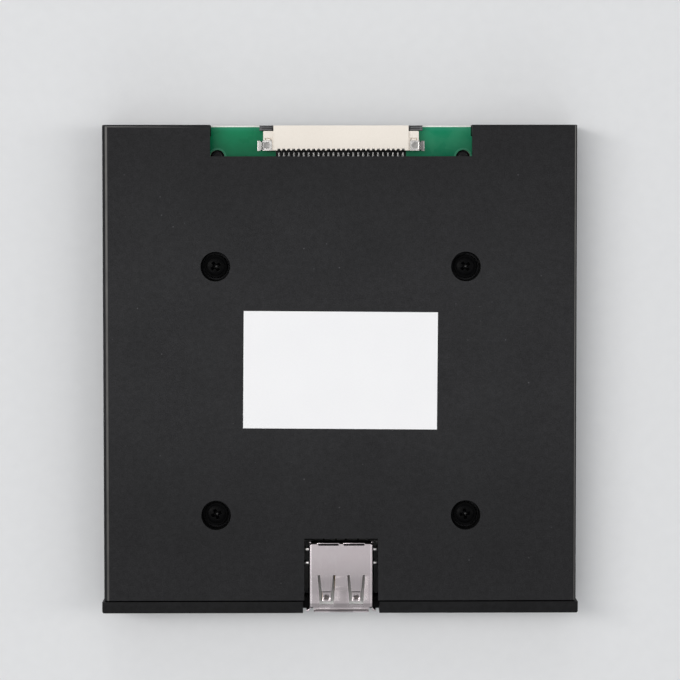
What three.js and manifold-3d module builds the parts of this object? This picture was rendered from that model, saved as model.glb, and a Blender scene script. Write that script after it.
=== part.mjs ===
// Slim floppy drive emulator: a flat black case in the 3.5 inch slim drive size, with a 26-way
// flat-cable connector at the rear, a USB-A receptacle at the front, a three-digit display and
// two push buttons. Millimetres. It lies on its plain cover, the labelled cover up (+Z), the
// bezel towards -Y and the flat-cable connector towards +Y. The origin is the centre of the
// bounding box's bottom.
import * as THREE from "three";
import { mergeVertices } from "three/addons/utils/BufferGeometryUtils.js";
import Module from "manifold-3d";

const wasm = await Module();
wasm.setup();

// ------------------------------------------------------------------ driving dimensions
const W_BEZEL = 96.0; // bezel width, the slim drive standard
const DEPTH = 98.4; // bezel face to rear edge
const HEIGHT = 12.7; // the slim drive standard
const BEZEL_T = 2.35;
const SEAM = 0.26; // gap between bezel and case
const W_CASE = 95.3;
const CASE_TOP = 12.6; // the label brings it to HEIGHT
const WALL = 1.8;
const PLATE_T = 1.6; // labelled cover's plate
const FLOOR_T = 1.5; // plain cover's plate
const PART_Z = 6.3; // where the two covers meet
const PART_GAP = 0.1; // half the gap there
const EDGE_R = 1.0; // long edges of the case
const REAR_R = 0.5; // rear edges of the case
const CORNER_R = 0.3; // rear corners in plan
const PCB_T = 1.6;
const PCB_Z = 6.4; // underside of the circuit board
const PCB_TOP = PCB_Z + PCB_T;

const SCREW_X = [-25.0, 25.3];
const SCREW_Y = [-29.3, 20.8];
const RECESS_R = 2.98;
const RECESS_FLOOR = 9.0;
const HEAD_R = 2.35;
const HEAD_H = 1.5;
const SHANK_R = 1.2;

const NOTCH_X = [-26.03, 26.55]; // rear opening for the flat cable
const NOTCH_Y = 42.88;
const POST_X = [-24.7, 24.92];
const POST_Y = 42.82;
const POST_HOLE_R = 1.45;
const POST_PIN_R = 1.15;

const USB_X = 0.2; // receptacle's centre
const USB_W = 13.1;
const USB_H = 5.7;
const USB_T = 0.3;
const USB_Z = 6.35; // underside of the shell
const USB_FRONT = -49.0;
const USB_REAR = -35.06;
const USB_BAY_Y = -34.05; // cut-out's rear edge in the labelled cover
const USB_BAY_HALF = 7.475;
const USB_SLOT_HALF = 7.72; // the bezel's slot
const USB_CUT_HALF = 7.75; // cut-out in the circuit board, hidden by the cover all round
const USB_CUT_Y = -33.9;

const FFC_X = 0.25; // flat-cable connector's centre
const FFC_WAYS = 26;
const FFC_PITCH = 1.0;
const SLIDER_TRAVEL = 1.5;

const LABEL_W = 39.0;
const LABEL_H = 23.6;
const LABEL_T = 0.08;

const DISP_X = 27.0; // display's centre
const DISP_Z = 6.3;
const DISP_W = 20.0;
const DISP_H = 9.0;

const BUTTON_X = [-29.0, -19.5];
const BUTTON_Z = 4.65;
const BUTTON_R = 2.0;
const BUTTON_TRAVEL = 0.3;
const LED_X = -38.5;
const LED_R = 1.5;

const Y_FRONT = -DEPTH / 2;
const Y_REAR = DEPTH / 2;
const CASE_Y0 = Y_FRONT + BEZEL_T + SEAM;
const HALF = W_CASE / 2;
const INNER = HALF - WALL;
const PLATE_Z = CASE_TOP - PLATE_T;

// ------------------------------------------------------------------ solids
function solid(geometry) {
  const g = geometry.index ? geometry.toNonIndexed() : geometry.clone();
  const bare = new THREE.BufferGeometry().setAttribute(
    "position",
    g.getAttribute("position"),
  );
  const merged = mergeVertices(bare, 1e-4);
  return new wasm.Manifold(
    new wasm.Mesh({
      numProp: 3,
      vertProperties: merged.attributes.position.array,
      triVerts: new Uint32Array(merged.index.array),
    }),
  );
}

function box(x0, x1, y0, y1, z0, z1) {
  const g = new THREE.BoxGeometry(x1 - x0, y1 - y0, z1 - z0);
  g.translate((x0 + x1) / 2, (y0 + y1) / 2, (z0 + z1) / 2);
  return solid(g);
}

const AXES = {
  // shape x, shape y, extrusion
  X: [new THREE.Vector3(0, 1, 0), new THREE.Vector3(0, 0, 1), new THREE.Vector3(1, 0, 0)],
  Y: [new THREE.Vector3(1, 0, 0), new THREE.Vector3(0, 0, 1), new THREE.Vector3(0, -1, 0)],
  Z: [new THREE.Vector3(1, 0, 0), new THREE.Vector3(0, 1, 0), new THREE.Vector3(0, 0, 1)],
};

// An outline extruded along a row axis. Points are (y, z) for X, (x, z) for Y and (x, y) for Z.
function prism(axis, points, from, to, holes = []) {
  const shape = new THREE.Shape(points.map(([a, b]) => new THREE.Vector2(a, b)));
  for (const h of holes)
    shape.holes.push(new THREE.Path(h.map(([a, b]) => new THREE.Vector2(a, b))));
  const g = new THREE.ExtrudeGeometry(shape, { depth: to - from, bevelEnabled: false });
  g.applyMatrix4(new THREE.Matrix4().makeBasis(...AXES[axis]));
  if (axis === "X") g.translate(from, 0, 0);
  if (axis === "Y") g.translate(0, to, 0);
  if (axis === "Z") g.translate(0, 0, from);
  return solid(g);
}

// A round rod along a row axis; (u, v) are its other two coordinates in X, Y, Z order.
function rod(axis, r, from, to, u, v, seg = 24, rEnd = r) {
  const g = new THREE.CylinderGeometry(rEnd, r, to - from, seg);
  const m = (from + to) / 2;
  if (axis === "X") g.rotateZ(-Math.PI / 2).translate(m, u, v);
  if (axis === "Y") g.translate(u, m, v);
  if (axis === "Z") g.rotateX(Math.PI / 2).translate(u, v, m);
  return solid(g);
}

// A turned solid about Z; the profile is (r, z) and starts and ends on the axis.
function turned(profile, seg = 20) {
  const g = new THREE.LatheGeometry(profile.map(([r, z]) => new THREE.Vector2(r, z)), seg);
  g.rotateX(Math.PI / 2);
  return solid(g);
}

const join = (...parts) => parts.reduce((a, b) => a.add(b));
const cut = (body, ...tools) => tools.reduce((a, b) => a.subtract(b), body);

function arc(cx, cy, r, a0, a1, n) {
  const out = [];
  for (let i = 0; i <= n; i++) {
    const a = ((a0 + ((a1 - a0) * i) / n) * Math.PI) / 180;
    out.push([cx + r * Math.cos(a), cy + r * Math.sin(a)]);
  }
  return out;
}

function roundRect(x0, x1, y0, y1, r, n = 3) {
  return [
    ...arc(x1 - r, y0 + r, r, -90, 0, n),
    ...arc(x1 - r, y1 - r, r, 0, 90, n),
    ...arc(x0 + r, y1 - r, r, 90, 180, n),
    ...arc(x0 + r, y0 + r, r, 180, 270, n),
  ];
}

const circle = (cx, cy, r, n = 24) => arc(cx, cy, r, 0, 360 - 360 / n, n - 1);

// ------------------------------------------------------------------ materials
const finish = (color, roughness, metalness = 0) =>
  new THREE.MeshStandardMaterial({ color, roughness, metalness });
const caseBlack = finish(0x2f2f31, 0.62);
const bezelBlack = finish(0x232325, 0.5);
const white = finish(0xf1f0f2, 0.55);
const screwBlack = finish(0x16161a, 0.35, 0.7);
const boardGreen = finish(0x1f7350, 0.4);
const shellMetal = finish(0xb2aaac, 0.3, 0.9);
const cream = finish(0xebe3d8, 0.5);
const sliderGrey = finish(0x68676b, 0.55);
const tin = finish(0xc4c2c0, 0.3, 0.9);
const gold = finish(0xc9a45a, 0.3, 0.9);
const nylon = finish(0xf0efea, 0.5);
const chipBlack = finish(0x202022, 0.6);
const clearRed = finish(0xb83028, 0.25);
const segmentGrey = finish(0xd9d3cf, 0.45);
const displayGrey = finish(0x3a3a3c, 0.5);
const fuseGreen = finish(0x2f6a45, 0.5);

const model = new THREE.Group();
function part(name, body, material, parent = model) {
  const m = body.getMesh();
  const g = new THREE.BufferGeometry();
  g.setAttribute("position", new THREE.BufferAttribute(new Float32Array(m.vertProperties), 3));
  g.setIndex(new THREE.BufferAttribute(new Uint32Array(m.triVerts), 1));
  g.computeVertexNormals();
  const mesh = new THREE.Mesh(g, material);
  mesh.name = name;
  parent.add(mesh);
  return mesh;
}

// ------------------------------------------------------------------ case covers
const plan = (y0) => [
  [-HALF, y0],
  [HALF, y0],
  ...arc(HALF - CORNER_R, Y_REAR - CORNER_R, CORNER_R, 0, 90, 4),
  ...arc(-HALF + CORNER_R, Y_REAR - CORNER_R, CORNER_R, 90, 180, 4),
];

function labelledCover() {
  const z0 = PART_Z + PART_GAP;
  const section = [
    [-HALF, z0],
    [HALF, z0],
    ...arc(HALF - EDGE_R, CASE_TOP - EDGE_R, EDGE_R, 0, 90, 8),
    ...arc(-HALF + EDGE_R, CASE_TOP - EDGE_R, EDGE_R, 90, 180, 8),
  ];
  const side = [
    [CASE_Y0 - 1, 5],
    [Y_REAR, 5],
    ...arc(Y_REAR - REAR_R, CASE_TOP - REAR_R, REAR_R, 0, 90, 4),
    [CASE_Y0 - 1, CASE_TOP],
  ];
  let c = prism("Y", section, CASE_Y0, Y_REAR)
    .intersect(prism("Z", plan(CASE_Y0), 0, HEIGHT))
    .intersect(prism("X", side, -HALF - 1, HALF + 1));
  c = cut(
    c,
    box(-INNER, INNER, CASE_Y0 - 1, Y_REAR - WALL, 5, PLATE_Z),
    // step that takes the plain cover's lip
    box(-INNER - 0.9, INNER + 0.9, CASE_Y0 - 1, Y_REAR - WALL + 0.9, 5, 7.2),
  );
  for (const x of SCREW_X)
    for (const y of SCREW_Y) c = c.add(rod("Z", 4.1, PCB_TOP + 0.1, PLATE_Z + 0.3, x, y, 24));
  c = cut(
    c,
    box(NOTCH_X[0], NOTCH_X[1], NOTCH_Y, Y_REAR + 1, 5, 14),
    box(USB_X - USB_BAY_HALF, USB_X + USB_BAY_HALF, CASE_Y0 - 1, USB_BAY_Y, 10, 14),
  );
  for (const x of SCREW_X)
    for (const y of SCREW_Y)
      c = cut(
        c,
        rod("Z", RECESS_R, RECESS_FLOOR, CASE_TOP + 1, x, y, 32),
        rod("Z", 1.45, PCB_TOP - 0.5, RECESS_FLOOR + 0.5, x, y, 16),
      );
  return c;
}

function plainCover() {
  const z1 = PART_Z - PART_GAP;
  const section = [
    ...arc(HALF - EDGE_R, EDGE_R, EDGE_R, -90, 0, 8),
    [HALF, z1],
    [-HALF, z1],
    ...arc(-HALF + EDGE_R, EDGE_R, EDGE_R, 180, 270, 8),
  ];
  const side = [
    [CASE_Y0 - 1, 0],
    ...arc(Y_REAR - REAR_R, REAR_R, REAR_R, -90, 0, 4),
    [Y_REAR, 8],
    [CASE_Y0 - 1, 8],
  ];
  let c = prism("Y", section, CASE_Y0, Y_REAR)
    .intersect(prism("Z", plan(CASE_Y0), -1, HEIGHT))
    .intersect(prism("X", side, -HALF - 1, HALF + 1));
  c = cut(c, box(-INNER, INNER, CASE_Y0 - 1, Y_REAR - WALL, FLOOR_T, 8));
  // lip that enters the labelled cover
  let lip = box(-INNER - 0.75, INNER + 0.75, CASE_Y0, Y_REAR - WALL + 0.75, z1 - 0.2, 6.95);
  lip = cut(
    lip,
    box(-INNER, INNER, CASE_Y0 - 1, Y_REAR - WALL, 5, 8),
    box(NOTCH_X[0] - 1.2, NOTCH_X[1] + 1.2, 40, 50, 5, 8),
  );
  c = c.add(lip);
  for (const x of SCREW_X)
    for (const y of SCREW_Y)
      c = cut(
        c.add(rod("Z", 3.2, FLOOR_T - 0.2, PCB_Z - 0.1, x, y, 20)),
        rod("Z", 1.35, 2.2, PCB_Z + 1, x, y, 16),
      );
  for (const x of POST_X)
    c = join(
      c,
      rod("Z", 2.2, FLOOR_T - 0.2, PCB_Z - 0.1, x, POST_Y, 16),
      rod("Z", POST_PIN_R, PCB_Z - 0.3, PCB_TOP - 0.3, x, POST_Y, 20),
      rod("Z", POST_PIN_R, PCB_TOP - 0.3, PCB_TOP, x, POST_Y, 20, POST_PIN_R - 0.25),
    );
  for (const s of [-1, 1]) {
    const a = s < 0 ? -INNER - 0.2 : INNER - 1.9;
    const b = s < 0 ? -INNER + 1.9 : INNER + 0.2;
    // ledges under the board's edges
    c = c.add(box(a, b, -4, 8, FLOOR_T - 0.2, PCB_Z - 0.1));
    c = c.add(box(a, b, 38, 44, FLOOR_T - 0.2, PCB_Z - 0.1));
    // side fixing holes in their own bosses
    for (const y of [-14, 31]) {
      const p = s < 0 ? -INNER - 0.2 : INNER - 4.2;
      const q = s < 0 ? -INNER + 4.2 : INNER + 0.2;
      c = c.add(box(p, q, y - 2.7, y + 2.7, FLOOR_T - 0.2, 6.1));
      c = cut(c, s < 0 ? rod("X", 1.15, -HALF - 1, -INNER + 3.2, y, 3.6, 16) : rod("X", 1.15, INNER - 3.2, HALF + 1, y, 3.6, 16));
    }
    // pocket for the bezel's hook
    c = cut(c, s < 0 ? box(-INNER - 0.8, -INNER + 0.1, -43.6, -41.9, 1.9, 6.0) : box(INNER - 0.1, INNER + 0.8, -43.6, -41.9, 1.9, 6.0));
  }
  return c;
}

part("cover_plain_side", plainCover(), caseBlack);
part("cover_label_side", labelledCover(), caseBlack);

// ------------------------------------------------------------------ bezel
function bezel() {
  const r = 0.45;
  const outline = [
    ...arc(-W_BEZEL / 2 + r, Y_FRONT + r, r, 180, 270, 3),
    ...arc(W_BEZEL / 2 - r, Y_FRONT + r, r, 270, 360, 3),
    [W_BEZEL / 2, Y_FRONT + BEZEL_T],
    [-W_BEZEL / 2, Y_FRONT + BEZEL_T],
  ];
  const side = [
    ...arc(Y_FRONT + r, r, r, 180, 270, 3),
    [Y_FRONT + BEZEL_T, 0],
    [Y_FRONT + BEZEL_T, HEIGHT],
    ...arc(Y_FRONT + r, HEIGHT - r, r, 90, 180, 3),
  ];
  let b = prism("Z", outline, 0, HEIGHT).intersect(prism("X", side, -W_BEZEL / 2, W_BEZEL / 2));
  const back = Y_FRONT + BEZEL_T;
  // locating tabs under the labelled cover's plate
  for (const [x0, x1] of [[-36, -28], [40, 44.5]])
    b = b.add(box(x0, x1, back - 0.3, back + 3.4, PLATE_Z - 1.2, PLATE_Z - 0.15));
  // hooks that snap into the plain cover's side walls
  for (const s of [-1, 1]) {
    const hook = [
      [s * (INNER - 1.5), back - 0.3],
      [s * (INNER - 0.25), back - 0.3],
      [s * (INNER - 0.25), -43.3],
      [s * (INNER + 0.45), -43.2],
      [s * (INNER - 0.25), -42.0],
      [s * (INNER - 0.8), -41.7],
      [s * (INNER - 1.5), -41.7],
    ];
    b = b.add(prism("Z", hook, 2.2, 5.7));
  }
  b = cut(
    b,
    box(USB_X - USB_SLOT_HALF, USB_X + USB_SLOT_HALF, Y_FRONT - 1, back + 1, 5.3, HEIGHT + 1),
    box(DISP_X - DISP_W / 2 - 0.15, DISP_X + DISP_W / 2 + 0.15, Y_FRONT - 1, back + 1, DISP_Z - DISP_H / 2 - 0.15, DISP_Z + DISP_H / 2 + 0.15),
    rod("Y", LED_R + 0.12, Y_FRONT - 1, back + 1, LED_X, BUTTON_Z, 24),
  );
  for (const x of BUTTON_X) b = cut(b, rod("Y", BUTTON_R + 0.15, Y_FRONT - 1, back + 1, x, BUTTON_Z, 28));
  return b;
}
part("front_bezel", bezel(), bezelBlack);

// ------------------------------------------------------------------ label and case screws
const label = part("label_sticker", box(-LABEL_W / 2, LABEL_W / 2, -LABEL_H / 2, LABEL_H / 2, 0, LABEL_T), white);
label.position.set(0.08, -0.05, HEIGHT - LABEL_T);
label.rotation.z = THREE.MathUtils.degToRad(-0.45);

function screw() {
  const shank = 6.6;
  const body = turned([
    [0, -shank],
    [0.5, -shank],
    [SHANK_R, -shank + 0.9],
    [SHANK_R, 0],
    [HEAD_R, 0],
    [HEAD_R, 0.75],
    [HEAD_R - 0.15, 1.1],
    [HEAD_R - 0.6, 1.4],
    [0, HEAD_H],
  ]);
  return cut(body, box(-1.2, 1.2, -0.28, 0.28, 0.7, 2), box(-0.28, 0.28, -1.2, 1.2, 0.7, 2));
}
const screwBody = screw();
const corner = { "-1": "front", 1: "rear" };
SCREW_X.forEach((x, i) =>
  SCREW_Y.forEach((y, j) => {
    const m = part("case_screw_" + corner[j ? 1 : -1] + (i ? "_right" : "_left"), screwBody, screwBlack);
    m.position.set(x, y, RECESS_FLOOR + 0.05);
  }),
);

// ------------------------------------------------------------------ circuit board
const BOARD_HALF = 44.6;
const BOARD_FRONT = -45.0;
const boardOutline = [
  [-BOARD_HALF, BOARD_FRONT],
  [USB_X - USB_CUT_HALF, BOARD_FRONT],
  [USB_X - USB_CUT_HALF, USB_CUT_Y],
  [USB_X + USB_CUT_HALF, USB_CUT_Y],
  [USB_X + USB_CUT_HALF, BOARD_FRONT],
  [DISP_X - 10.6, BOARD_FRONT],
  [DISP_X - 10.6, -42.6],
  [DISP_X + 10.6, -42.6],
  [DISP_X + 10.6, BOARD_FRONT],
  [BOARD_HALF, BOARD_FRONT],
  [BOARD_HALF, 47.0],
  [NOTCH_X[1] - 0.06, 47.0],
  [NOTCH_X[1] - 0.06, Y_REAR - 0.05],
  [NOTCH_X[0] + 0.06, Y_REAR - 0.05],
  [NOTCH_X[0] + 0.06, 47.0],
  [-BOARD_HALF, 47.0],
];
const boardHoles = [
  ...SCREW_X.flatMap((x) => SCREW_Y.map((y) => circle(x, y, 1.6, 16))),
  ...POST_X.map((x) => circle(x, POST_Y, POST_HOLE_R, 20)),
];
part("main_board", prism("Z", boardOutline, PCB_Z, PCB_TOP, boardHoles.map((h) => h.reverse())), boardGreen);

// ------------------------------------------------------------------ USB-A receptacle
const usb = new THREE.Group();
usb.position.set(USB_X, 0, 0);
model.add(usb);
const USB_TOP = USB_Z + USB_H;

function springFinger(top) {
  // side view (y, z) of one pressed finger, and its plan taper
  const s = top ? 1 : -1;
  const skin = top ? USB_TOP : USB_Z;
  const dip = top ? 0.95 : 0.28;
  const t = USB_T;
  const z = (d) => skin - s * d;
  const side = [
    [-41.3, z(0)],
    [-41.3, z(t)],
    [-42.2, z(t)],
    [-44.85, z(t + dip * 0.45)],
    [-46.0, z(t + dip)],
    [-46.85, z(t + dip * 0.55)],
    [-46.85, z(dip * 0.55)],
    [-46.0, z(dip)],
    [-44.85, z(dip * 0.45)],
    [-42.2, z(0)],
  ];
  if (!top) side.reverse();
  const taper = [
    [-1.32, -41.2],
    [-0.93, -44.85],
    [-0.9, -47.0],
    [0.9, -47.0],
    [0.93, -44.85],
    [1.32, -41.2],
  ];
  return prism("X", side, -2, 2).intersect(prism("Z", taper, 0, 20));
}

function usbShell() {
  const w = USB_W / 2;
  const outer = prism("Y", roundRect(-w, w, USB_Z, USB_TOP, 0.6, 4), USB_FRONT, USB_REAR);
  const inner = prism("Y", roundRect(-w + USB_T, w - USB_T, USB_Z + USB_T, USB_TOP - USB_T, 0.3, 3), USB_FRONT - 1, USB_REAR - USB_T);
  let s = outer.subtract(inner);
  // the contact tails leave under the rear wall
  s = cut(s, box(-5.6, 5.6, USB_REAR - 1.6, USB_REAR + 1, USB_Z - 1, 7.2));
  // bend-relief slits where the rear wall folds down
  s = cut(s, box(-4.9, -0.75, USB_REAR - 0.5, USB_REAR - 0.2, 11.5, 13), box(0.4, 4.6, USB_REAR - 0.5, USB_REAR - 0.2, 11.5, 13));
  // windows of the spring fingers
  const win = [
    [-1.79, -41.54],
    [-1.39, -47.99],
    [1.39, -47.99],
    [1.79, -41.54],
  ];
  for (const x of [-3.0, 3.0]) {
    const shifted = win.map(([a, b]) => [a + x, b]);
    s = s.subtract(prism("Z", shifted, USB_Z - 1, USB_TOP + 1));
  }
  // flared lips: the straight edge is cut back and a bent lip takes its place
  s = cut(
    s,
    box(-w - 1, w + 1, USB_FRONT - 1, USB_FRONT + 0.6, USB_TOP - 0.75, USB_TOP + 1),
    box(-w - 1, w + 1, USB_FRONT - 1, USB_FRONT + 0.6, USB_Z - 1, USB_Z + 0.75),
    rod("Z", 0.5, USB_TOP - 0.75, USB_TOP + 1, -6.02, USB_FRONT + 0.5, 16),
    rod("Z", 0.5, USB_TOP - 0.75, USB_TOP + 1, 6.02, USB_FRONT + 0.5, 16),
  );
  const f = USB_FRONT;
  const lipTop = [
    [f + 0.8, USB_TOP],
    [f + 0.8, USB_TOP - USB_T],
    [f + 0.55, USB_TOP - USB_T],
    [f, USB_TOP + 0.22],
    [f, USB_TOP + 0.55],
    [f + 0.2, USB_TOP + 0.55],
    [f + 0.62, USB_TOP],
  ];
  const lipLow = lipTop.map(([y, z]) => [y, USB_Z + USB_TOP - z]).reverse();
  s = join(s, prism("X", lipTop, -5.5, 5.5), prism("X", lipLow, -5.5, 5.5));
  for (const k of [-1, 1]) {
    const a = k < 0 ? -7.55 : w - USB_T;
    const b = k < 0 ? -w + USB_T : 7.55;
    s = s.add(box(a, b, f, f + 0.3, USB_Z + 0.85, USB_TOP - 0.85));
    // narrow legs that leave the shell near its top, bend down in the gap and stand on the board
    const leg = [
      [w - 0.15, 11.2],
      [7.0, 11.2],
      [7.0, PCB_TOP + 0.08],
      [8.5, PCB_TOP + 0.08],
      [8.5, PCB_TOP + 0.4],
      [7.36, PCB_TOP + 0.4],
      [7.36, 11.6],
      [w - 0.15, 11.6],
    ].map(([x, z]) => [k * x, z]);
    if (k < 0) leg.reverse();
    for (const y of [-39.09, -36.36]) s = s.add(prism("Y", leg, y - 0.2, y + 0.2));
  }
  for (const x of [-3.0, 3.0])
    for (const top of [true, false]) {
      const g = springFinger(top);
      s = s.add(g.translate([x, 0, 0]));
    }
  return s;
}
part("usb_shell", usbShell(), shellMetal, usb);

const USB_WAYS = [-3.5, -1.0, 1.0, 3.5];
function usbInsulator() {
  let b = join(
    box(-6.15, 6.15, -39.0, -35.9, USB_Z + USB_T + 0.1, USB_TOP - USB_T - 0.1),
    box(-5.55, 5.55, -47.9, -38.9, 7.37, 9.2),
  );
  // front edge of the tongue is bevelled for the plug
  b = cut(b, prism("X", [[-48.5, 8.6], [-48.5, 9.6], [-47.2, 9.6], [-47.2, 9.25], [-47.9, 8.75]], -7, 7));
  for (const x of USB_WAYS)
    b = cut(
      b,
      box(x - 0.5, x + 0.5, -47.1, -38.0, 8.84, 9.6 - 0.1),
      box(x - 0.5, x + 0.5, -39.5, -35.0, 8.75, 9.5),
      box(x - 0.5, x + 0.5, -36.6, -35.0, 6.0, 9.5),
    );
  return b;
}
part("usb_insulator", usbInsulator(), nylon, usb);

// the tails go down inside the shell and back to the board's underside
const contactSide = [
  [-47.0, 8.92],
  [-36.3, 8.92],
  [-36.3, 6.1],
  [-32.6, 6.1],
  [-32.6, 6.32],
  [-36.08, 6.32],
  [-36.08, 9.14],
  [-47.0, 9.14],
];
const contactPlan = [
  [-0.36, -48.0],
  [0.36, -48.0],
  [0.36, -36.8],
  [0.18, -36.4],
  [0.18, -32.0],
  [-0.18, -32.0],
  [-0.18, -36.4],
  [-0.36, -36.8],
];
const contactBody = prism("X", contactSide, -0.36, 0.36).intersect(prism("Z", contactPlan, 5, 10));
USB_WAYS.forEach((x, i) => {
  part("usb_contact_" + (i + 1), contactBody, gold, usb).position.x = x;
});

// ------------------------------------------------------------------ 26-way flat-cable connector
const ffc = new THREE.Group();
ffc.position.set(FFC_X, 0, 0);
model.add(ffc);

function ffcHousing() {
  let h = join(
    box(-13.57, 13.57, 44.1, 49.1, 9.95, 10.85), // top plate
    box(-13.7, 13.7, 45.3, 49.0, PCB_TOP + 0.05, 8.5), // bottom plate
    box(-13.7, 13.7, 44.1, 44.6, 8.75, 10.0), // front wall
    box(-15.64, -13.57, 44.1, 48.0, PCB_TOP + 0.05, 10.3), // side walls
    box(13.57, 15.64, 44.1, 48.0, PCB_TOP + 0.05, 10.3),
  );
  // one scallop over each contact
  for (let i = 0; i < FFC_WAYS; i++) {
    const x = (i - (FFC_WAYS - 1) / 2) * FFC_PITCH;
    h = h.subtract(box(x - 0.25, x + 0.25, 44.0, 44.42, 8.6, 11));
  }
  return h;
}
part("ffc_housing", ffcHousing(), cream, ffc);

function ffcSlider() {
  return join(
    box(-12.9, 12.9, 46.2, 48.3, 8.62, 9.25), // wedge that presses the cable on the contacts
    box(-13.5, 13.5, 48.2, 49.1, 8.62, 9.3),
    box(-16.4, -13.4, 48.08, 49.15, 8.56, 9.85), // ears to pull it by
    box(13.4, 16.4, 48.08, 49.15, 8.56, 9.85),
  );
}
part("ffc_slider", ffcSlider(), sliderGrey, ffc);

function ffcContacts() {
  let c = box(-12.65, 12.65, 44.78, 45.05, 8.95, 9.3);
  for (let i = 0; i < FFC_WAYS; i++) {
    const x = (i - (FFC_WAYS - 1) / 2) * FFC_PITCH;
    const side = [
      [42.3, 8.05],
      [45.05, 8.05],
      [45.05, 9.6],
      [47.6, 9.6],
      [47.6, 9.8],
      [44.78, 9.8],
      [44.78, 8.27],
      [42.3, 8.27],
    ];
    c = c.add(prism("X", side, x - 0.15, x + 0.15));
  }
  return c;
}
part("ffc_contacts", ffcContacts(), tin, ffc);

for (const s of [-1, 1]) {
  const strip = [
    [13.9, 10.55],
    [13.9, 10.35],
    [15.7, 10.35],
    [15.7, 8.05],
    [16.85, 8.05],
    [16.85, 8.3],
    [15.95, 8.3],
    [15.95, 10.55],
  ].map(([x, z]) => [s * x, z]);
  if (s < 0) strip.reverse();
  part(s < 0 ? "ffc_holddown_left" : "ffc_holddown_right", prism("Y", strip, 44.05, 46.1), tin, ffc);
}

// ------------------------------------------------------------------ display
const FACE_Y = -48.9;
// The drive is used with its labelled side down, so the digits stand on their heads here.
function segments(grow) {
  const t = 0.72 + 2 * grow;
  const w = 3.1;
  const h = 5.7;
  const out = [];
  const bar = (cx, cz, len, upright) => {
    const a = len / 2 + grow;
    const b = t / 2;
    const p = [
      [-a, 0],
      [-a + b, -b],
      [a - b, -b],
      [a, 0],
      [a - b, b],
      [-a + b, b],
    ].map(([u, v]) => (upright ? [cx - v, cz + u] : [cx + u, cz + v]));
    out.push(p);
  };
  for (const dx of [-6.3, 0, 6.3]) {
    const x = DISP_X + dx;
    for (const z of [-h / 2, 0, h / 2]) bar(x, DISP_Z + z, w - 0.14, false);
    for (const u of [-w / 2, w / 2]) for (const z of [-h / 4, h / 4]) bar(x + u, DISP_Z + z, h / 2 - 0.14, true);
    out.push(circle(x - w / 2 - 0.95, DISP_Z + h / 2, 0.36 + grow, 10));
  }
  return out;
}
{
  const x0 = DISP_X - DISP_W / 2;
  const x1 = DISP_X + DISP_W / 2;
  const z0 = DISP_Z - DISP_H / 2;
  const z1 = DISP_Z + DISP_H / 2;
  let shell = box(x0, x1, FACE_Y, -43.4, z0, z1).subtract(box(x0 + 0.6, x1 - 0.6, FACE_Y + 0.8, -43, z0 + 0.6, z1 - 0.6));
  for (const p of segments(0.05)) shell = shell.subtract(prism("Y", p, FACE_Y - 1, FACE_Y + 1));
  part("display_shell", shell, displayGrey);
  let diffuser = box(x0 + 0.7, x1 - 0.7, FACE_Y + 0.9, FACE_Y + 2.6, z0 + 0.7, z1 - 0.7);
  for (const p of segments(0)) diffuser = diffuser.add(prism("Y", p, FACE_Y + 0.06, FACE_Y + 1.2));
  part("display_diffuser", diffuser, segmentGrey);
  let board = box(x0 + 0.7, x1 - 0.7, -45.2, -44.2, z0 + 0.7, z1 - 0.7);
  for (let i = 0; i < 7; i++) {
    const x = DISP_X + (i - 3) * 2.54;
    board = join(
      board,
      box(x - 0.25, x + 0.25, -44.3, -41.2, PCB_TOP + 0.08, PCB_TOP + 0.4),
      box(x - 0.25, x + 0.25, -44.3, -41.2, PCB_Z - 0.4, PCB_Z - 0.08),
    );
  }
  part("display_board", board, boardGreen);
}

// ------------------------------------------------------------------ buttons and their switches
function cap() {
  return join(
    rod("Y", BUTTON_R - 0.2, -49.15, -48.95, 0, 0, 28, BUTTON_R),
    rod("Y", BUTTON_R, -48.95, -46.45, 0, 0, 28),
    rod("Y", BUTTON_R + 0.75, -46.5, -45.8, 0, 0, 20), // flange that keeps it behind the bezel
    rod("Y", 1.3, -45.9, -45.3, 0, 0, 16),
  );
}
function switchBody() {
  return cut(
    box(-3, 3, -44.6, -41.4, -1.75, 1.68),
    box(-2.3, 2.3, -45, -42.3, -1.2, 1.15),
  );
}
function switchPlate() {
  return cut(
    join(
      box(-3.0, 3.0, -44.88, -44.68, -1.75, 1.6),
      box(-3.28, -3.08, -44.88, -42.2, -1.0, 1.0), // legs folded back along the sides
      box(3.08, 3.28, -44.88, -42.2, -1.0, 1.0),
      box(-3.28, 3.28, -44.88, -44.68, -1.0, 1.0),
    ),
    rod("Y", 1.3, -46, -44, 0, 0, 20),
  );
}
function plunger() {
  return join(
    rod("Y", 1.15, -45.25, -44.2, 0, 0, 20),
    box(-2.1, 2.1, -44.3, -43.75, -1.0, 0.95),
    rod("Y", 0.6, -43.8, -43.5, 0, 0, 12),
  );
}
function dome() {
  // a thin spherical cap whose crown faces the plunger
  const R = 3.0;
  const r = 1.1;
  const profile = [];
  const n = 4;
  for (let i = 0; i <= n; i++) {
    const a = (i / n) * Math.asin(r / R);
    profile.push([R * Math.sin(a), R * Math.cos(a) - R]);
  }
  const inner = profile.map(([x, z]) => [x, z - 0.12]).reverse();
  const g = new THREE.LatheGeometry([...profile, ...inner].reverse().map(([x, z]) => new THREE.Vector2(Math.max(x, 0), z)), 14);
  g.rotateX(Math.PI);
  return solid(g);
}
const capBody = cap();
const bodyOfSwitch = switchBody();
const plateOfSwitch = switchPlate();
const plungerBody = plunger();
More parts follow.
